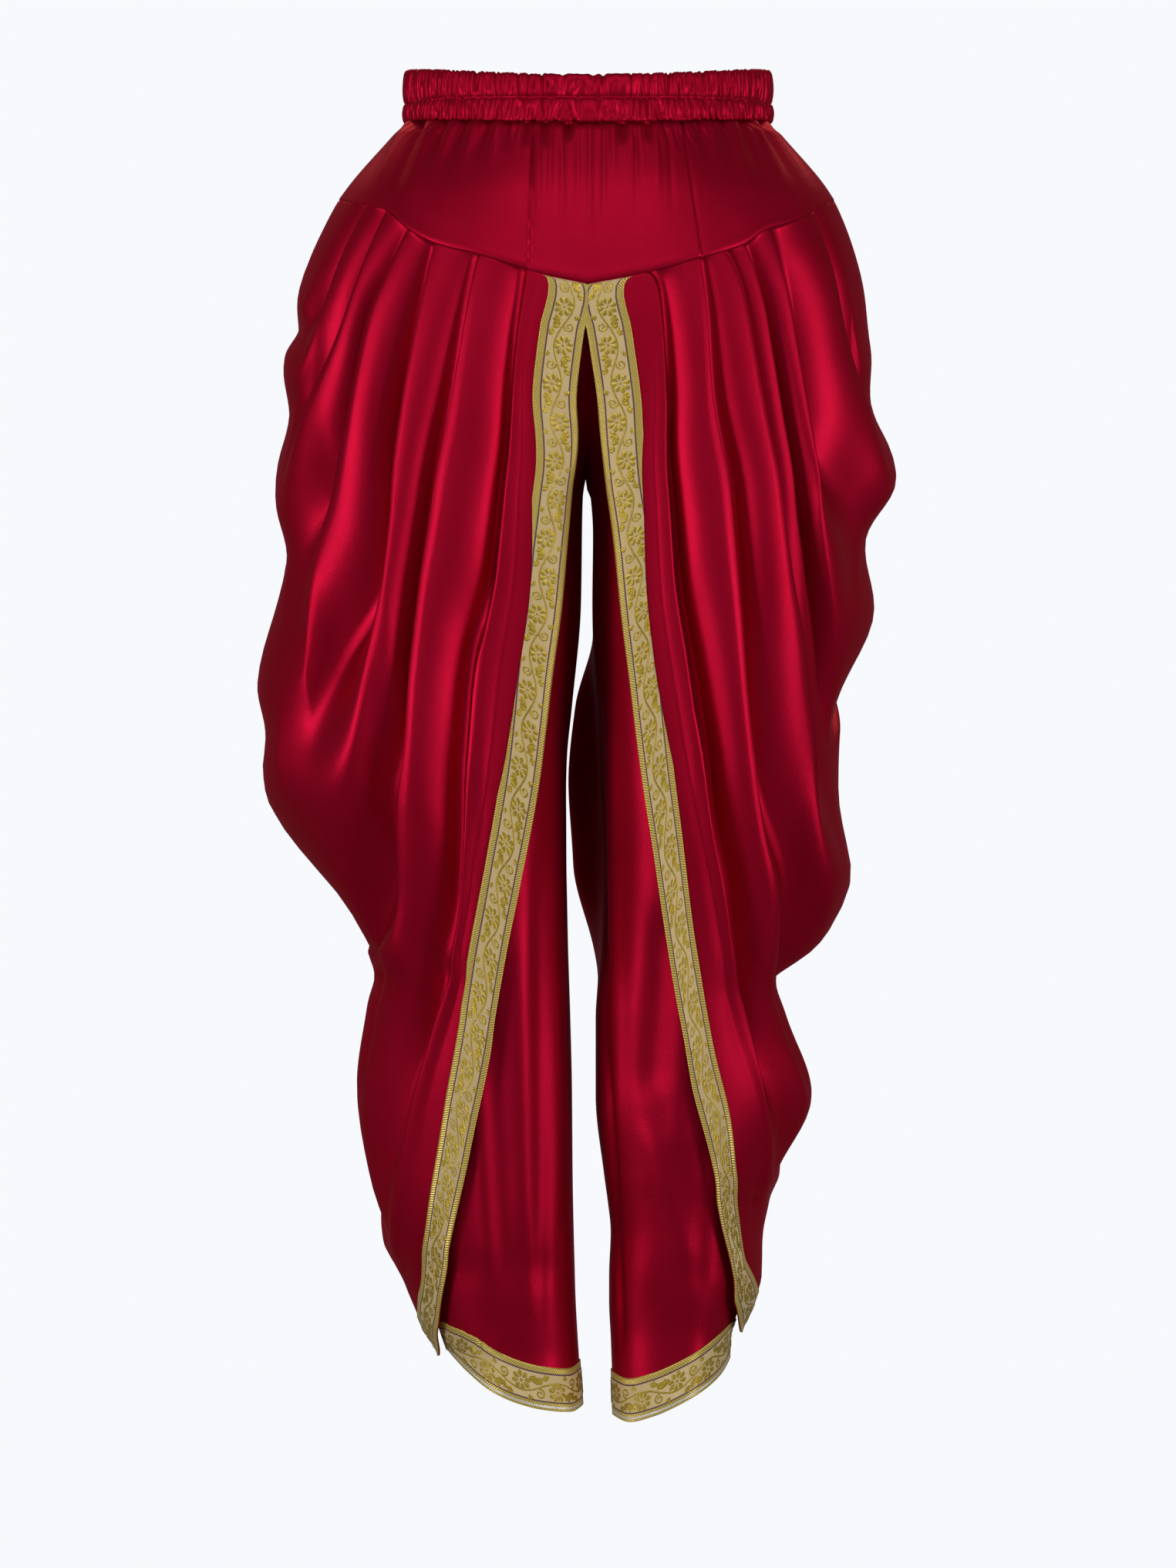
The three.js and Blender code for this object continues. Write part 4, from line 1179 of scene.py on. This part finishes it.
def inner_leg(leg, behind):
    grid, outward = inner_leg_grid(leg, behind)
    side = "back" if behind else "front"
    satin_shell(f"leg_{side}_{leg['name']}", *with_turned_edge(leg, grid, outward),
                flat=(0.19, 0.7), area=0.07, held="hung", rests_on=[f"yoke_{side}_satin"])
    return grid[-HEM_ROWS:], outward[-HEM_ROWS:]


def hem_border(leg, front, back):
    (front_grid, front_outward), (back_grid, back_outward) = front, back
    grid = np.concatenate([front_grid[:, :0:-1], back_grid[:, 1:]], axis=1)
    outward = np.concatenate([front_outward[:, :0:-1], back_outward[:, 1:]], axis=1)
    lay_ribbon("hem_border_" + leg["name"], grid, outward,
               HEM_BANDS, HEM_COLUMNS, vine_start=12,
               flat=(0.026, 0.25), rests_on=["leg_front_" + leg["name"] + "_satin"])


# Stage, camera and lights

IMAGE_HEIGHT_MM = 935
CAMERA_DISTANCE = 6.0
CAMERA_DROP = 0.4073
SENSOR = 36
GARMENT_MIDDLE = (0, 0, -0.4)
FLOOR_DROP = 0.93
FLOOR_REACH = 3
WORLD_LIGHT = 0.2
BACKDROP_COLOUR = linear(247, 249, 252)


def camera():
    data = bpy.data.cameras.new("camera")
    data.sensor_width = SENSOR
    data.lens = SENSOR * CAMERA_DISTANCE / (IMAGE_HEIGHT_MM * MM)
    view = add_object("camera", data)
    view.location = (0, -CAMERA_DISTANCE, -CAMERA_DROP)
    view.rotation_euler = (math.radians(90), 0, 0)
    bpy.context.scene.camera = view


def area_light(name, place, width, height, power):
    """A rectangular light that points at the middle of the garment."""
    data = bpy.data.lights.new(name, "AREA")
    data.shape = "RECTANGLE"
    data.size = width
    data.size_y = height
    data.energy = power
    light = add_object(name, data)
    light.location = place
    light.rotation_euler = (Vector(GARMENT_MIDDLE) - Vector(place)).to_track_quat("-Z", "Y").to_euler()


def lights():
    area_light("left_softbox", (-2.4, -2.1, -0.35), width=0.9, height=1.6, power=35)
    area_light("right_softbox", (2.4, -2.1, -0.45), width=0.9, height=1.6, power=34)
    area_light("front_softbox", (-0.1, -3, 1.3), width=0.9, height=1.2, power=12)
    area_light("back_left_softbox", (-1.2, 2.1, 1.9), width=0.8, height=1.4, power=9)
    area_light("back_right_softbox", (1.2, 2.1, 1.9), width=0.8, height=1.4, power=9)


def world():
    """A dim even studio that the camera sees as a pale backdrop on every side."""
    studio = bpy.data.worlds.new("studio")
    studio.use_nodes = True
    nodes, links = studio.node_tree.nodes, studio.node_tree.links
    dim = nodes["Background"]
    set_inputs(dim, {"Color": (0.93, 0.95, 1, 1), "Strength": WORLD_LIGHT})
    pale = nodes.new("ShaderNodeBackground")
    set_inputs(pale, {"Color": BACKDROP_COLOUR})
    path = nodes.new("ShaderNodeLightPath")
    blend = nodes.new("ShaderNodeMixShader")
    links.new(path.outputs["Is Camera Ray"], blend.inputs["Fac"])
    links.new(dim.outputs["Background"], blend.inputs[1])
    links.new(pale.outputs["Background"], blend.inputs[2])
    links.new(blend.outputs["Shader"], nodes["World Output"].inputs["Surface"])
    bpy.context.scene.world = studio


def floor():
    material, _, shader = new_material("floor")
    set_inputs(shader, {
        "Base Color": (0.02, 0.02, 0.02, 1),
        "Roughness": 1,
        "Specular IOR Level": 0,
        "Emission Color": BACKDROP_COLOUR,
        "Emission Strength": 0.99,
    })
    mesh = bpy.data.meshes.new("floor")
    corners = [(-FLOOR_REACH, -FLOOR_REACH), (FLOOR_REACH, -FLOOR_REACH),
               (FLOOR_REACH, FLOOR_REACH), (-FLOOR_REACH, FLOOR_REACH)]
    mesh.from_pydata([(x, y, -FLOOR_DROP) for x, y in corners], [], [(0, 1, 2, 3)])
    mesh.materials.append(material)
    sheet = add_object("floor", mesh)
    sheet.visible_glossy = False
    sheet.visible_diffuse = False


camera()
lights()
world()
floor()
waistband()
yoke("yoke_front", behind=False)
yoke("yoke_back", behind=True)
for leg in (LEFT, RIGHT):
    front_border(leg, *drape(leg))
    hem_border(leg, inner_leg(leg, behind=False), inner_leg(leg, behind=True))
bpy.context.scene.view_settings.view_transform = "Standard"
